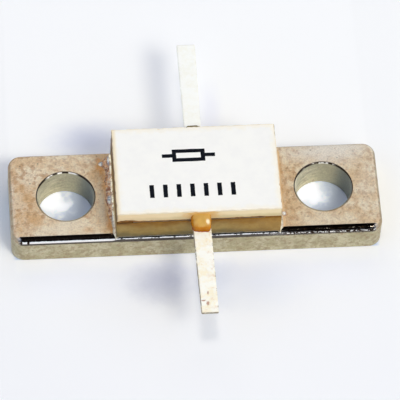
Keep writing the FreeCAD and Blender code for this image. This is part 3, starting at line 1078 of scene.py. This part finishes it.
@dataclass(frozen=True)
class Paper(Finish):
    """The pale table top: cooler and a little darker towards the front, with painted shadows round the part
    and painted shade under it.
    """

    back: Colour = screen(251, 252, 253)
    front: Colour = screen(246, 247, 250)
    front_fade: Ramp = (12.0, -14.0)
    # foot: painted light just in front of the flange, where its front face throws light back onto the
    # table.
    foot: Colour = screen(253, 254, 255)
    # Painted shadows of the part on the table.
    painted_shadows: tuple[Patch, ...] = (
        Patch(-11.1, 0.3, 1.2, 3.6, tint(228, 238, 252)),
        Patch(-6.0, 5.1, 3.4, 1.9, tint(226, 230, 244)),
        Patch(-2.4, -4.9, 2.5, 2.0, tint(212, 214, 224)),
        Patch(1.2, -5.1, 1.9, 2.3, tint(214, 219, 230)),
        Patch(3.0, -5.4, 4.5, 2.6, tint(240, 243, 250)),
        Patch(1.5, 6.9, 1.0, 2.8, tint(243, 244, 251)))
    # Painted dim spots in the painted light in the holes.
    specks: tuple[tuple[float, float, float], ...] = (
        (-7.4, 1.05, 0.42), (-6.6, 0.65, 0.5), (7.66, 1.15, 0.42), (8.45, 0.6, 0.5))
    speck_share: float = 0.6
    # Under the part: painted shade, with painted light where the lamps reach through the holes.
    painted_shade_under_part: Colour = screen(210, 223, 248)
    painted_hole_light: Colour = screen(252, 253, 255)
    reached_shift: tuple[float, float] = (-0.6, 0.95)
    reached_fade: Ramp = (1.45, 0.45)
    reached_wander: float = 1.6
    foot_fade: Ramp = (-1.3, -0.4)
    beside_fade: Ramp = (-4.0, -0.6)
    beside_end: Ramp = (0.2, -0.2)
    no_glow: Colour = (0.0, 0.0, 0.0, 1.0)
    foot_painted_glow: Colour = (0.0, 0.012, 0.07, 1.0)
    hole_painted_glow: Colour = (0.20, 0.24, 0.34, 1.0)

    def paint(self, on: Surface) -> None:
        """Links the table's slow change of tone, its painted shadows and shade, and the painted light in
        the holes and in front of the flange, which also glows for the camera.

        Args:
            on: The material's graph.
        """
        flange = corners("flange")[1]
        inside_x, inside_y = (abs(value).step(size, 0.97 * size)
                              for value, size in ((on.x, flange.x), (on.y, flange.y)))
        before = on.y + flange.y
        colour = on.mix(on.y.step(*self.front_fade), self.back, self.front)
        # Painted light just in front of the flange.
        colour = on.mix(inside_x * before.step(*self.foot_fade), colour, self.foot)
        # Painted shadows of the part.
        colour = on.patched(colour, self.painted_shadows, 0.0, tall=1.0, ragged=0.2, soft=0.95)

        # Painted light on the table inside the holes, with painted dim spots.
        away = on.wandering(on.from_hole(*self.reached_shift), on.noise(0.55), self.reached_wander)
        painted_hole_light = away.step(*self.reached_fade)
        for x, y, wide in self.specks:
            speck = on.blot((x, y, 0.0), (wide, wide, 1.0), ragged=0.3, soft=0.9)
            painted_hole_light = painted_hole_light * (1.0 - speck * self.speck_share)
        under = inside_x * inside_y
        colour = on.mix(under, colour, on.mix(painted_hole_light, self.painted_shade_under_part, self.painted_hole_light))

        # Painted light in front of the flange, which also glows for the camera.
        beside = before.step(*self.beside_fade) * before.step(*self.beside_end)
        beside = beside * abs(on.x).step(flange.x + 1.0, 0.7 * flange.x)
        # The painted light in the holes also glows for the camera.
        lit = on.mix(under * painted_hole_light, on.mix(beside, self.no_glow, self.foot_painted_glow), self.hole_painted_glow)
        seen = on.add("ShaderNodeLightPath").outputs["Is Camera Ray"]
        on.link(base_color=colour, emission_color=on.mix(seen, self.no_glow, lit), emission_strength=1.0)


COPPER = tint(178, 124, 92, 0.85)
NICKEL_PLATE = NickelPlate("nickel_plate")
SOLDER = Solder("solder")
BLOCK_CERAMIC = StainedCeramic("block_ceramic", specular=0.2)
COVER_CERAMIC = WhiteCeramic("cover_ceramic", roughness=0.55, specular=0.3)
FRONT_SILVER = SilverPlate("front_silver", roughness=0.42, specular=0.4, node="lead_front", marks=(
    Patch(0.13, -7.86, 0.07, 0.13, COPPER), Patch(0.08, -8.55, 0.12, 0.16, COPPER),
    Patch(-0.15, -8.36, 0.18, 0.06, COPPER), Patch(-0.40, -8.5, 0.07, 0.2, COPPER)))
BACK_SILVER = SilverPlate("back_silver", roughness=0.42, specular=0.4, node="lead_back", worn=0.15,
                          silver=screen(254, 255, 250), cream=screen(250, 250, 241))
AMBER_EPOXY = AmberEpoxy("amber_epoxy", specular=0.2)
# The back bead's epoxy, painted dark olive as shade from the cover.
PAINTED_SHADE_EPOXY = AmberEpoxy("painted_shade_epoxy", thin=screen(150, 136, 86), amber=screen(126, 112, 66),
                        deep=screen(110, 92, 52), red=tint(110, 84, 48, 0.8))
PAPER = Paper("paper", roughness=0.6, specular=0.3)
SILVER_FILM = Plain("silver_film", metallic=0.9, roughness=0.45)
RESISTOR_FILM = Plain("resistor_film", roughness=0.6, first=screen(58, 58, 62), second=screen(44, 44, 48))
GLAZE = Plain("glaze", roughness=0.2, first=screen(66, 92, 76), second=screen(52, 78, 62))
ADHESIVE = Plain("adhesive", roughness=0.7, specular=0.1, first=screen(156, 108, 58),
                 second=screen(112, 76, 42), relief=0.02)
INK = Plain("ink", roughness=0.5, specular=0.25, first=screen(10, 13, 20), second=screen(18, 22, 30),
            patch=0.2)


class Piece:
    """A mesh that is shaped in millimetres and ends as one named object of the part."""

    def __init__(self, name: str) -> None:
        """Starts an empty mesh under the piece's name."""
        self.name = name
        self.mesh = bmesh.new()

    def extrude_loop(self, edges: list[bmesh.types.BMEdge]) -> tuple[list, list]:
        """Extrudes a closed loop of edges without moving it.

        Args:
            edges: The loop's edges.

        Returns:
            The new loop's corners and its edges.
        """
        made = bmesh.ops.extrude_edge_only(self.mesh, edges=edges)["geom"]
        loop = [part for part in made if isinstance(part, bmesh.types.BMVert)]
        known = set(loop)
        return loop, [part for part in made
                      if isinstance(part, bmesh.types.BMEdge) and known.issuperset(part.verts)]

    def long_edges(self, axis: int, length: float) -> list[bmesh.types.BMEdge]:
        """Gives the edges that run further than a length along an axis."""
        return [edge for edge in self.mesh.edges
                if abs(edge.verts[0].co[axis] - edge.verts[1].co[axis]) > length]

    def cut_grid(self, low: Vector, high: Vector, spacing: tuple[float, float, float]) -> None:
        """Divides the long edges of a box-like shape evenly, so that its faces can be shaped finely.

        Args:
            low: Lowest corner of the shape.
            high: Highest corner of the shape.
            spacing: Rough length of a piece of edge along X, Y and Z. 0 leaves those edges whole.
        """
        for axis, step in enumerate(spacing):
            size = high[axis] - low[axis]
            if step:
                bmesh.ops.subdivide_edges(self.mesh, edges=self.long_edges(axis, size / 2),
                                          cuts=round(size / step) - 1, use_grid_fill=True)

    def sharp_edges(self, angle: float) -> list[bmesh.types.BMEdge]:
        """Gives the edges whose two faces meet at more than an angle in degrees."""
        return [edge for edge in self.mesh.edges if edge.calc_face_angle(0.0) > math.radians(angle)]

    def place(self, finish: Finish, slot: str, nodes: tuple[str, ...] = (),
              crease: float = 50.0) -> bpy.types.Object:
        """Turns the mesh into an object in metres that rides on the part.

        Args:
            finish: Its finish.
            slot: The record's material slot.
            nodes: CAD nodes that it stands for.
            crease: Angle in degrees past which an edge shows as sharp.

        Returns:
            The object.
        """
        bmesh.ops.recalc_face_normals(self.mesh, faces=self.mesh.faces)
        sharp = set(self.sharp_edges(crease))
        for face in self.mesh.faces:
            face.smooth = True
        for edge in self.mesh.edges:
            edge.smooth = edge not in sharp
        bmesh.ops.scale(self.mesh, vec=(MM, MM, MM), verts=self.mesh.verts)
        data = bpy.data.meshes.new(self.name)
        self.mesh.to_mesh(data)
        self.mesh.free()
        data.materials.append(finish.material())
        made = in_scene(self.name, data)
        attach(made, BODY)
        if nodes:
            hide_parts(*nodes)
        log.info("piece %s: %d faces, slot %s", self.name, len(data.polygons), slot)
        return made


class CadCopy(Piece):
    """A merged copy of a CAD node's mesh, so that its edges and faces can be worn in place."""

    def __init__(self, name: str, node: str) -> None:
        """Copies the node's mesh in millimetres and merges its loose triangles.

        Args:
            name: The piece's name.
            node: The CAD node that it starts from.
        """
        super().__init__(name)
        self.low, self.high = corners(node)
        self.mesh.from_mesh(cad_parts[node].data)
        bmesh.ops.scale(self.mesh, vec=(1 / MM, 1 / MM, 1 / MM), verts=self.mesh.verts)
        bmesh.ops.remove_doubles(self.mesh, verts=self.mesh.verts, dist=1e-4)
        bmesh.ops.dissolve_limit(self.mesh, angle_limit=math.radians(1), verts=self.mesh.verts,
                                 edges=self.mesh.edges)

    def round_sharp(self, radius: float) -> None:
        """Rounds the square edges."""
        bmesh.ops.bevel(self.mesh, geom=self.sharp_edges(60), offset=radius, offset_type="OFFSET",
                        segments=2, profile=0.5, affect="EDGES", material=-1, clamp_overlap=True)

    def chip_edges(self, reach: float, depth: float, spacing: float, seed: float, share: float) -> None:
        """Bites small chips out of the box's edges.

        Args:
            reach: How far from an edge a chip can reach.
            depth: Depth of a full chip.
            spacing: Rough distance between two chips.
            seed: Picks another pattern.
            share: The larger, the fewer chips.
        """
        middle = (self.low + self.high) / 2
        for vert in self.mesh.verts:
            gaps = sorted((min(vert.co[a] - self.low[a], self.high[a] - vert.co[a]), a) for a in range(3))
            bite = max(0.0, wobble(vert.co, spacing, seed) - share) * depth
            if gaps[1][0] < reach and bite:
                for gap, axis in gaps[:2]:
                    inwards = math.copysign(1.0, middle[axis] - vert.co[axis])
                    vert.co[axis] += inwards * bite * (1 - gap / reach)


@dataclass
class KeptNodes:
    """The CAD nodes that are shown as they are, each with its finish."""

    finishes: tuple[tuple[str, Finish], ...] = (
        ("flange", NICKEL_PLATE),
        ("underside_film", SILVER_FILM),
        ("terminal_pad_front", SILVER_FILM),
        ("terminal_pad_back", SILVER_FILM),
        ("resistor_film", RESISTOR_FILM),
        ("film_glaze", GLAZE),
        ("lead_solder_front", SOLDER),
        ("lead_solder_back", SOLDER),
        ("cover_adhesive", ADHESIVE),
    )

    def dress(self) -> None:
        """Gives each kept CAD node its finish."""
        for node, finish in self.finishes:
            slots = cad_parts[node].data.materials
            slots.clear()
            slots.append(finish.material())
            log.info("node %s: finish %s", node, finish.name)


@dataclass
class SolderJoint:
    """The solder under the block: lumpy hollow fillets at its ends, a drawn-in seam along its sides."""

    cuts: tuple[int, int] = (119, 99)
    roll: float = 0.33
    inset: float = 0.2
    toe: float = 0.34
    rise: float = 0.2
    ledge: float = 0.04
    seam_depth: float = 0.12
    end_blend: float = 0.18
    side_blend: float = 0.10
    corner_blend: tuple[float, float] = (0.05, 0.4)
    corner_rise: float = 0.4
    wave: float = 0.9
    toe_waves: float = 0.3
    rise_waves: float = 0.2
    ripple: float = 0.3
    ripple_share: float = 0.15
    lump_rise: float = 0.3
    seam_wave: float = 0.8
    seam_waves: float = 0.3
    fillet: tuple[tuple[float, float], ...] = (
        (0.0, 1.0), (0.04, 0.9), (0.14, 0.68), (0.26, 0.44), (0.36, 0.28), (0.52, 0.16), (0.75, 0.08),
        (1.0, 0.0))
    toe_return: tuple[float, ...] = (1.0, 0.6, 0.0)
    seam_return: tuple[float, ...] = (0.01, 0.06, 0.16)
    lumps: tuple[tuple[float, float, float, float], ...] = (
        (-1, 2.14, 0.38, 0.24), (-1, -0.35, 0.08, 0.35), (-1, 1.0, 0.06, 0.3), (1, -1.76, 0.2, 0.15),
        (1, 1.4, -0.06, 0.6), (1, -0.4, -0.12, 0.6), (-1, -2.2, -0.2, 0.7))

    @property
    def last(self) -> int:
        """Gives the number of the ring at the fillet's toe."""
        return len(self.fillet) + 1

    def build(self) -> bpy.types.Object:
        """Sweeps the joint's outline round the foot of the block and closes it above and below."""
        block = corners("ceramic_block")[1]
        self.half_x, self.half_y = block.x, block.y
        self.film = corners("underside_film")[0].z
        _, self.flange_y, self.top = corners("flange")[1]
        piece = Piece("solder_joint_poured")
        bmesh.ops.create_grid(piece.mesh, x_segments=1, y_segments=1, size=1.0)
        bmesh.ops.scale(piece.mesh, vec=(self.half_x, self.half_y, 1.0), verts=piece.mesh.verts)
        bmesh.ops.delete(piece.mesh, geom=piece.mesh.faces[:], context="FACES_ONLY")
        for axis, cuts in enumerate(self.cuts):
            bmesh.ops.subdivide_edges(piece.mesh, edges=piece.long_edges(axis, 1.0), cuts=cuts)
        station = piece.mesh.verts.layers.float_vector.new("station")
        for vert in piece.mesh.verts:
            vert[station] = vert.co
        first = loop = piece.mesh.edges[:]
        self.set_ring(piece.mesh.verts, station, 0)
        for ring in range(1, self.last + 4):
            ring_corners, loop = piece.extrude_loop(loop)
            self.set_ring(ring_corners, station, ring)
        for end in (first, loop):
            bmesh.ops.edgeloop_fill(piece.mesh, edges=end)
        return piece.place(SOLDER, "solder", ("solder_joint",), crease=70)

    def surface(self, y: float) -> float:
        """Gives the height of the flange's top, rolled edge included, at a place along Y."""
        over = min(abs(y) - (self.flange_y - self.roll), self.roll)
        return self.top - (self.roll - math.sqrt(self.roll ** 2 - over ** 2) if over > 0 else 0.0)

    def set_ring(self, ring_corners: list[bmesh.types.BMVert], station: object, ring: int) -> None:
        """Moves one ring of corners to its place on the joint.

        Args:
            ring_corners: The ring's corners.
            station: The mesh layer with each corner's place on the block's outline.
            ring: 0 for the ring on the block's underside, rising outwards and down.
        """
        for vert in ring_corners:
            foot = Vector(vert[station])
            at_end = smooth_rise((abs(foot.x) - self.half_x + self.end_blend) / self.end_blend)
            at_side = smooth_rise((abs(foot.y) - self.half_y + self.side_blend) / self.side_blend)
            lump = sum(size * math.exp(-((foot.y - y) / reach) ** 2)
                       for sign, y, size, reach in self.lumps if sign * foot.x > 0)
            waves = wobble(foot, self.wave, 3.0)
            ripples = self.ripple_share * wobble(foot, self.ripple, 5.0)
            toe = self.toe * (1 + self.toe_waves * waves + ripples) + lump
            rise = self.rise * (1 + self.rise_waves * waves + ripples) + self.lump_rise * lump
            gap, blend = self.corner_blend
            inner = smooth_rise((self.half_y - gap - abs(foot.y)) / blend)
            rise *= self.corner_rise + (1 - self.corner_rise) * inner
            end_out, end_up = self.end_profile(ring, toe * inner + self.ledge, rise)
            seam = self.seam_depth * (1 + self.seam_waves * wobble(foot, self.seam_wave, 7.0))
            side_out, side_up = self.side_profile(ring, seam)
            shift = Vector((end_out * at_end, side_out * at_side * (1 - at_end), 0.0))
            if ring in (0, self.last + 3):
                shift = Vector((-self.inset * at_end, side_out * at_side, 0.0))
            place = foot + Vector([math.copysign(1.0, start) * part for start, part in zip(foot, shift)])
            ground = self.surface(place.y)
            place.z = (ground + end_up) * at_end + (ground + (self.film - ground) * side_up) * (1 - at_end)
            vert.co = place

    def end_profile(self, ring: int, toe: float, rise: float) -> tuple[float, float]:
        """Gives a ring's place at the block's two ends.

        Args:
            ring: The ring's number.
            toe: How far out the fillet's toe lies.
            rise: How high the fillet climbs.

        Returns:
            The distance out from the block's end and the height over the flange.
        """
        if ring <= 1:
            return (0.0, self.film - self.top)
        if ring <= self.last:
            out, up = self.fillet[ring - 2]
            return (toe * out, rise * up)
        return (toe * self.toe_return[ring - self.last - 1], 0.0)

    def side_profile(self, ring: int, seam: float) -> tuple[float, float]:
        """Gives a ring's place at the block's front and back.

        Args:
            ring: The ring's number.
            seam: How far the seam is drawn in.

        Returns:
            The distance out from the block's side and the share of the gap's height.
        """
        if ring == 0:
            return (-self.inset, 1.0)
        if ring <= self.last:
            share = max(0.0, (ring - 2) / (self.last - 2))
            return (-seam * smooth_rise(2 * share), 1 - share)
        return (-seam - self.seam_return[ring - self.last - 1], 0.0)


@dataclass
class CeramicPlate:
    """A ceramic plate with the small chips that it gets along its edges."""

    name: str
    node: str
    finish: Finish
    slot: str
    rounding: float
    chip_depth: float
    seed: float
    spacing: tuple[float, float, float] = (0.15, 0.15, 0.15)

    def build(self) -> bpy.types.Object:
        """Wears a copy of the CAD plate, with some larger chips and then many small ones."""
        piece = CadCopy(self.name, self.node)
        if self.rounding:
            piece.round_sharp(self.rounding)
        piece.cut_grid(piece.low, piece.high, self.spacing)
        piece.chip_edges(reach=0.1, depth=self.chip_depth, spacing=0.45, seed=self.seed, share=0.28)
        piece.chip_edges(reach=0.07, depth=0.05, spacing=0.16, seed=self.seed + 4, share=0.1)
        return piece.place(self.finish, self.slot, (self.node,), crease=60)


@dataclass
class FlatLead:
    """A flat lead cut from silver-plated strip, a little wavy, with soft edges."""

    side: Side
    finish: Finish
    edge: float = 0.018
    spacing: tuple[float, float, float] = (0.12, 0.12, 0.0)
    root: float = 1.5
    wave: float = 0.012
    wave_spacing: float = 1.6
    fray: float = 0.014
    fray_spacing: float = 0.35
    fray_start: float = 0.7
    fray_blend: float = 0.2

    def build(self) -> bpy.types.Object:
        """Softens and bends a copy of the CAD lead."""
        node = f"lead_{self.side.name.lower()}"
        piece = CadCopy(f"{node}_strip", node)
        ends = [sorted(v.co.x for v in piece.mesh.verts if abs(v.co.y - end) < 0.2)
                for end in (piece.low.y, piece.high.y)]
        piece.round_sharp(self.edge)
        piece.cut_grid(piece.low, piece.high, self.spacing)
        across = piece.mesh.verts.layers.float.new("across")
        clear = corners("ceramic_block")[1].y
        for vert in piece.mesh.verts:
            share = (vert.co.y - piece.low.y) / (piece.high.y - piece.low.y)
            left, right = (ends[0][edge] + share * (ends[1][edge] - ends[0][edge]) for edge in (0, -1))
            vert[across] = (2 * vert.co.x - left - right) / (right - left)
            free = smooth_rise((abs(vert.co.y) - clear) / self.root)
            sign = self.side.value
            vert.co.z += free * self.wave * wobble(vert.co, self.wave_spacing, sign * 11.0)
            ragged = smooth_rise((abs(vert[across]) - self.fray_start) / self.fray_blend)
            vert.co.x += free * ragged * self.fray * wobble(vert.co, self.fray_spacing, sign * 17.0)
        return piece.place(self.finish, "silver_plate", (node,), crease=65)


@dataclass
class EpoxyBead:
    """The bead of amber epoxy over a lead's root: a squarish dome that sags round the lead."""

    side: Side
    finish: Finish
    squareness: float = 0.5
    lobe: float = 0.1
    lobe_spacing: float = 0.45

    def build(self) -> bpy.types.Object:
        """Shapes a sphere into the bead, cuts it at the cover and closes the cut."""
        node = f"epoxy_bead_{self.side.name.lower()}"
        low, high = corners(node)
        wall = low.y if self.side is Side.BACK else high.y
        reach = Vector(((high.x - low.x) / 2, high.y - low.y, high.z - low.z))
        root = Vector(((low.x + high.x) / 2, wall, low.z))
        piece = Piece(f"{node}_dome")
        bmesh.ops.create_uvsphere(piece.mesh, u_segments=64, v_segments=48, radius=1.0)
        for vert in piece.mesh.verts:
            square = Vector([math.copysign(abs(c) ** self.squareness, c) for c in vert.co])
            lumps = 1 + self.lobe * wobble(square, self.lobe_spacing, 9.0 + self.side.value)
            vert.co = root + Vector([a * b * lumps for a, b in zip(square, reach)])
        for away in (Vector((0.0, float(-self.side.value), 0.0)), Vector((0.0, 0.0, -1.0))):
            parts = [*piece.mesh.verts, *piece.mesh.edges, *piece.mesh.faces]
            cut = bmesh.ops.bisect_plane(piece.mesh, geom=parts, plane_co=root, plane_no=away,
                                         clear_outer=True)["geom_cut"]
            rim = [part for part in cut if isinstance(part, bmesh.types.BMEdge)]
            bmesh.ops.contextual_create(piece.mesh, geom=rim)
        return piece.place(self.finish, "amber_epoxy", (node,), crease=50)


@dataclass
class CoverPrint:
    """Plain marks printed on the cover: a box with two lines, the common sign for a resistor, and bars."""

    sign_middle: tuple[float, float] = (-0.39, 0.95)
    sign_half: tuple[float, float] = (0.95, 0.42)
    sign_reach: float = 1.54
    stroke: float = 0.24
    bars_middle: tuple[float, float] = (-0.31, -1.43)
    bar_count: int = 7
    bar_pitch: float = 0.78
    bar_size: tuple[float, float] = (0.26, 0.86)
    ink: float = 0.006
    ragged: float = 0.012
    ragged_spacing: float = 0.12
    cut_from: float = 0.1
    cuts: int = 7

    def bar(self, piece: Piece, middle: tuple[float, float], size: tuple[float, float]) -> None:
        """Lays one rectangle of ink into a piece.

        Args:
            piece: The piece that it joins.
            middle: Its middle on the cover.
            size: Its width and height.
        """
        made = bmesh.ops.create_grid(piece.mesh, x_segments=1, y_segments=1, size=0.5)["verts"]
        bmesh.ops.scale(piece.mesh, vec=(*size, 1.0), verts=made)
        bmesh.ops.translate(piece.mesh, vec=(*middle, 0.0), verts=made)

    def press(self, piece: Piece) -> bpy.types.Object:
        """Gives flat marks the uneven edge and the thickness of printed ink, and places them.

        Args:
            piece: The flat marks.

        Returns:
            The object.
        """
        top = corners("ceramic_cover")[1].z
        long_sides = [edge for edge in piece.mesh.edges if edge.calc_length() > self.cut_from]
        bmesh.ops.subdivide_edges(piece.mesh, edges=long_sides, cuts=self.cuts)
        for vert in piece.mesh.verts:
            vert.co.x += self.ragged * wobble(vert.co, self.ragged_spacing, 21.0)
            vert.co.y += self.ragged * wobble(vert.co, self.ragged_spacing, 27.0)
            vert.co.z = top
        raised = bmesh.ops.extrude_face_region(piece.mesh, geom=piece.mesh.faces[:])["geom"]
        upper = [part for part in raised if isinstance(part, bmesh.types.BMVert)]
        bmesh.ops.translate(piece.mesh, vec=(0.0, 0.0, self.ink), verts=upper)
        return piece.place(INK, "resistor_film", crease=30)

    def build(self) -> None:
        """Prints the sign and the row of bars."""
        sign = Piece("printed_resistor_sign")
        half_x, half_y = self.sign_half
        self.bar(sign, self.sign_middle, (2 * half_x, 2 * half_y))
        inner = sign.mesh.faces[:]
        bmesh.ops.inset_region(sign.mesh, faces=inner, thickness=self.stroke, use_boundary=True,
                               use_even_offset=True)
        bmesh.ops.delete(sign.mesh, geom=inner, context="FACES_ONLY")
        tail = self.sign_reach - half_x
        for direction in (-1, 1):
            middle = (self.sign_middle[0] + direction * (half_x + tail / 2), self.sign_middle[1])
            self.bar(sign, middle, (tail, self.stroke))
        self.press(sign)
        row = Piece("printed_bars")
        for number in range(self.bar_count):
            offset = (number - (self.bar_count - 1) / 2) * self.bar_pitch
            self.bar(row, (self.bars_middle[0] + offset, self.bars_middle[1]), self.bar_size)
        self.press(row)


@dataclass(frozen=True)
class Lamp:
    """A soft lamp that lights the part from one direction. Its sizes are in metres."""

    name: str
    towards: tuple[float, float, float]
    size: float
    level: float
    tint: tuple[float, float, float]
    mirrored: bool = False
    distance: float = 0.5

    def hang(self, target: Vector) -> None:
        """Hangs the lamp so that a level of 1 alone lights white paper to plain white.

        Args:
            target: What it points at.
        """
        direction = Vector(self.towards).normalized()
        data = bpy.data.lights.new(self.name, "AREA")
        data.shape = "DISK"
        data.size = self.size
        data.color = self.tint
        data.energy = self.level * math.pi ** 2 * self.distance ** 2 / direction.z
        lamp = in_scene(self.name, data)
        lamp.location = target + direction * self.distance
        lamp.rotation_mode = "QUATERNION"
        lamp.rotation_quaternion = direction.to_track_quat("Z", "Y")
        lamp.visible_glossy = self.mirrored


@dataclass
class Studio:
    """The table, the lamps, the surroundings and the camera."""

    table_half: float = 1.5
    wall: Colour = screen(238, 245, 255)
    ceiling: Colour = screen(120, 142, 186)
    gap: Colour = screen(30, 24, 22)
    ceiling_start: Ramp = (0.27, 0.36)
    gap_width: Ramp = (0.5, 0.3)
    gap_front: Ramp = (-0.2, 0.2)
    gap_foot: Ramp = (0.03, 0.1)
    lamps: tuple[Lamp, ...] = (
        Lamp("lamp_front_right", (0.44, -0.62, 1.0), 0.17, 0.31, (1.0, 0.96, 0.82), mirrored=True),
        Lamp("lamp_broad_right", (0.6, -0.6, 1.0), 0.5, 0.18, (1.0, 0.96, 0.82)),
        Lamp("lamp_overhead", (-0.04, -0.11, 1.0), 0.07, 0.17, (1.0, 0.93, 0.82)),
        Lamp("lamp_behind", (0.04, 0.88, 1.0), 0.5, 0.215, (1.0, 0.96, 0.92)),
        Lamp("lamp_left", (-1.0, -0.4, 1.2), 0.4, 0.05, (0.8, 0.92, 1.1), mirrored=True),
    )
    azimuth: float = -7.589
    elevation: float = 57.562
    roll: float = 4.154
    distance: float = 226.737
    aim: tuple[float, float, float] = (0.302, -0.289, 1.5)
    lens: float = 351.19
    film: float = 36.0

    def build(self) -> None:
        """Makes the whole stage round the part."""
        self.lay_table()
        self.light_room()
        for lamp in self.lamps:
            lamp.hang(Vector((0.0, 0.0, 0.0)))
        self.place_camera()
        bpy.context.scene.view_settings.view_transform = "Standard"

    def lay_table(self) -> None:
        """Lays the pale table top under the part."""
        mesh = bmesh.new()
        bmesh.ops.create_grid(mesh, x_segments=1, y_segments=1, size=self.table_half)
        data = bpy.data.meshes.new("table")
        mesh.to_mesh(data)
        mesh.free()
        data.materials.append(PAPER.material())
        table = in_scene("table", data)

    def light_room(self) -> None:
        """Makes surroundings with pale walls low down, a dim ceiling, and a dark gap from front to back."""
        world = bpy.data.worlds.new("room")
        world.use_nodes = True
        world.node_tree.nodes.clear()
        graph = Graph(world.node_tree)
        x, y, z = graph.split(graph.add("ShaderNodeTexCoord").outputs["Generated"])
        raised = z.step(*self.ceiling_start)
        over = raised | y.step(*self.gap_front) * z.step(*self.gap_foot)
        colour = graph.mix(raised, self.wall, self.ceiling)
        colour = graph.mix(abs(x).step(*self.gap_width) * over, colour, self.gap)
        background = graph.add("ShaderNodeBackground", {"Color": colour})
        graph.add("ShaderNodeOutputWorld", {"Surface": background.outputs[0]})
        bpy.context.scene.world = world

    def place_camera(self) -> None:
        """Stands the camera where the photograph was taken from."""
        azimuth, elevation, roll = (math.radians(a) for a in (self.azimuth, self.elevation, self.roll))
        back = Vector((math.sin(azimuth) * math.cos(elevation), -math.cos(azimuth) * math.cos(elevation),
                       math.sin(elevation)))
        right = Vector((math.cos(azimuth), math.sin(azimuth), 0.0))
        up = back.cross(right)
        turned_right = right * math.cos(roll) + up * math.sin(roll)
        turned_up = up * math.cos(roll) - right * math.sin(roll)
        data = bpy.data.cameras.new("camera")
        data.sensor_width = self.film
        data.lens = self.lens
        data.clip_start = 0.001
        data.clip_end = 10.0
        camera = in_scene("camera", data)
        camera.rotation_mode = "QUATERNION"
        camera.rotation_quaternion = Matrix((turned_right, turned_up, back)).transposed().to_quaternion()
        camera.location = (Vector(self.aim) + back * self.distance) * MM
        bpy.context.scene.camera = camera


def main() -> None:
    """Builds the part's pieces and the stage in order."""
    logging.basicConfig(level=logging.INFO, format="%(name)s: %(message)s")
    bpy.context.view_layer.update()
    KeptNodes().dress()
    SolderJoint().build()
    CeramicPlate("ceramic_block_worn", "ceramic_block", BLOCK_CERAMIC, "block_ceramic",
                 rounding=0.03, chip_depth=0.1, seed=31.0).build()
    CeramicPlate("ceramic_cover_worn", "ceramic_cover", COVER_CERAMIC, "cover_ceramic",
                 rounding=0.0, chip_depth=0.12, seed=43.0).build()
    for side, silver, epoxy in ((Side.FRONT, FRONT_SILVER, AMBER_EPOXY),
                                (Side.BACK, BACK_SILVER, PAINTED_SHADE_EPOXY)):
        FlatLead(side, silver).build()
        EpoxyBead(side, epoxy).build()
    CoverPrint().build()
    Studio().build()


if __name__ == "__main__":
    main()
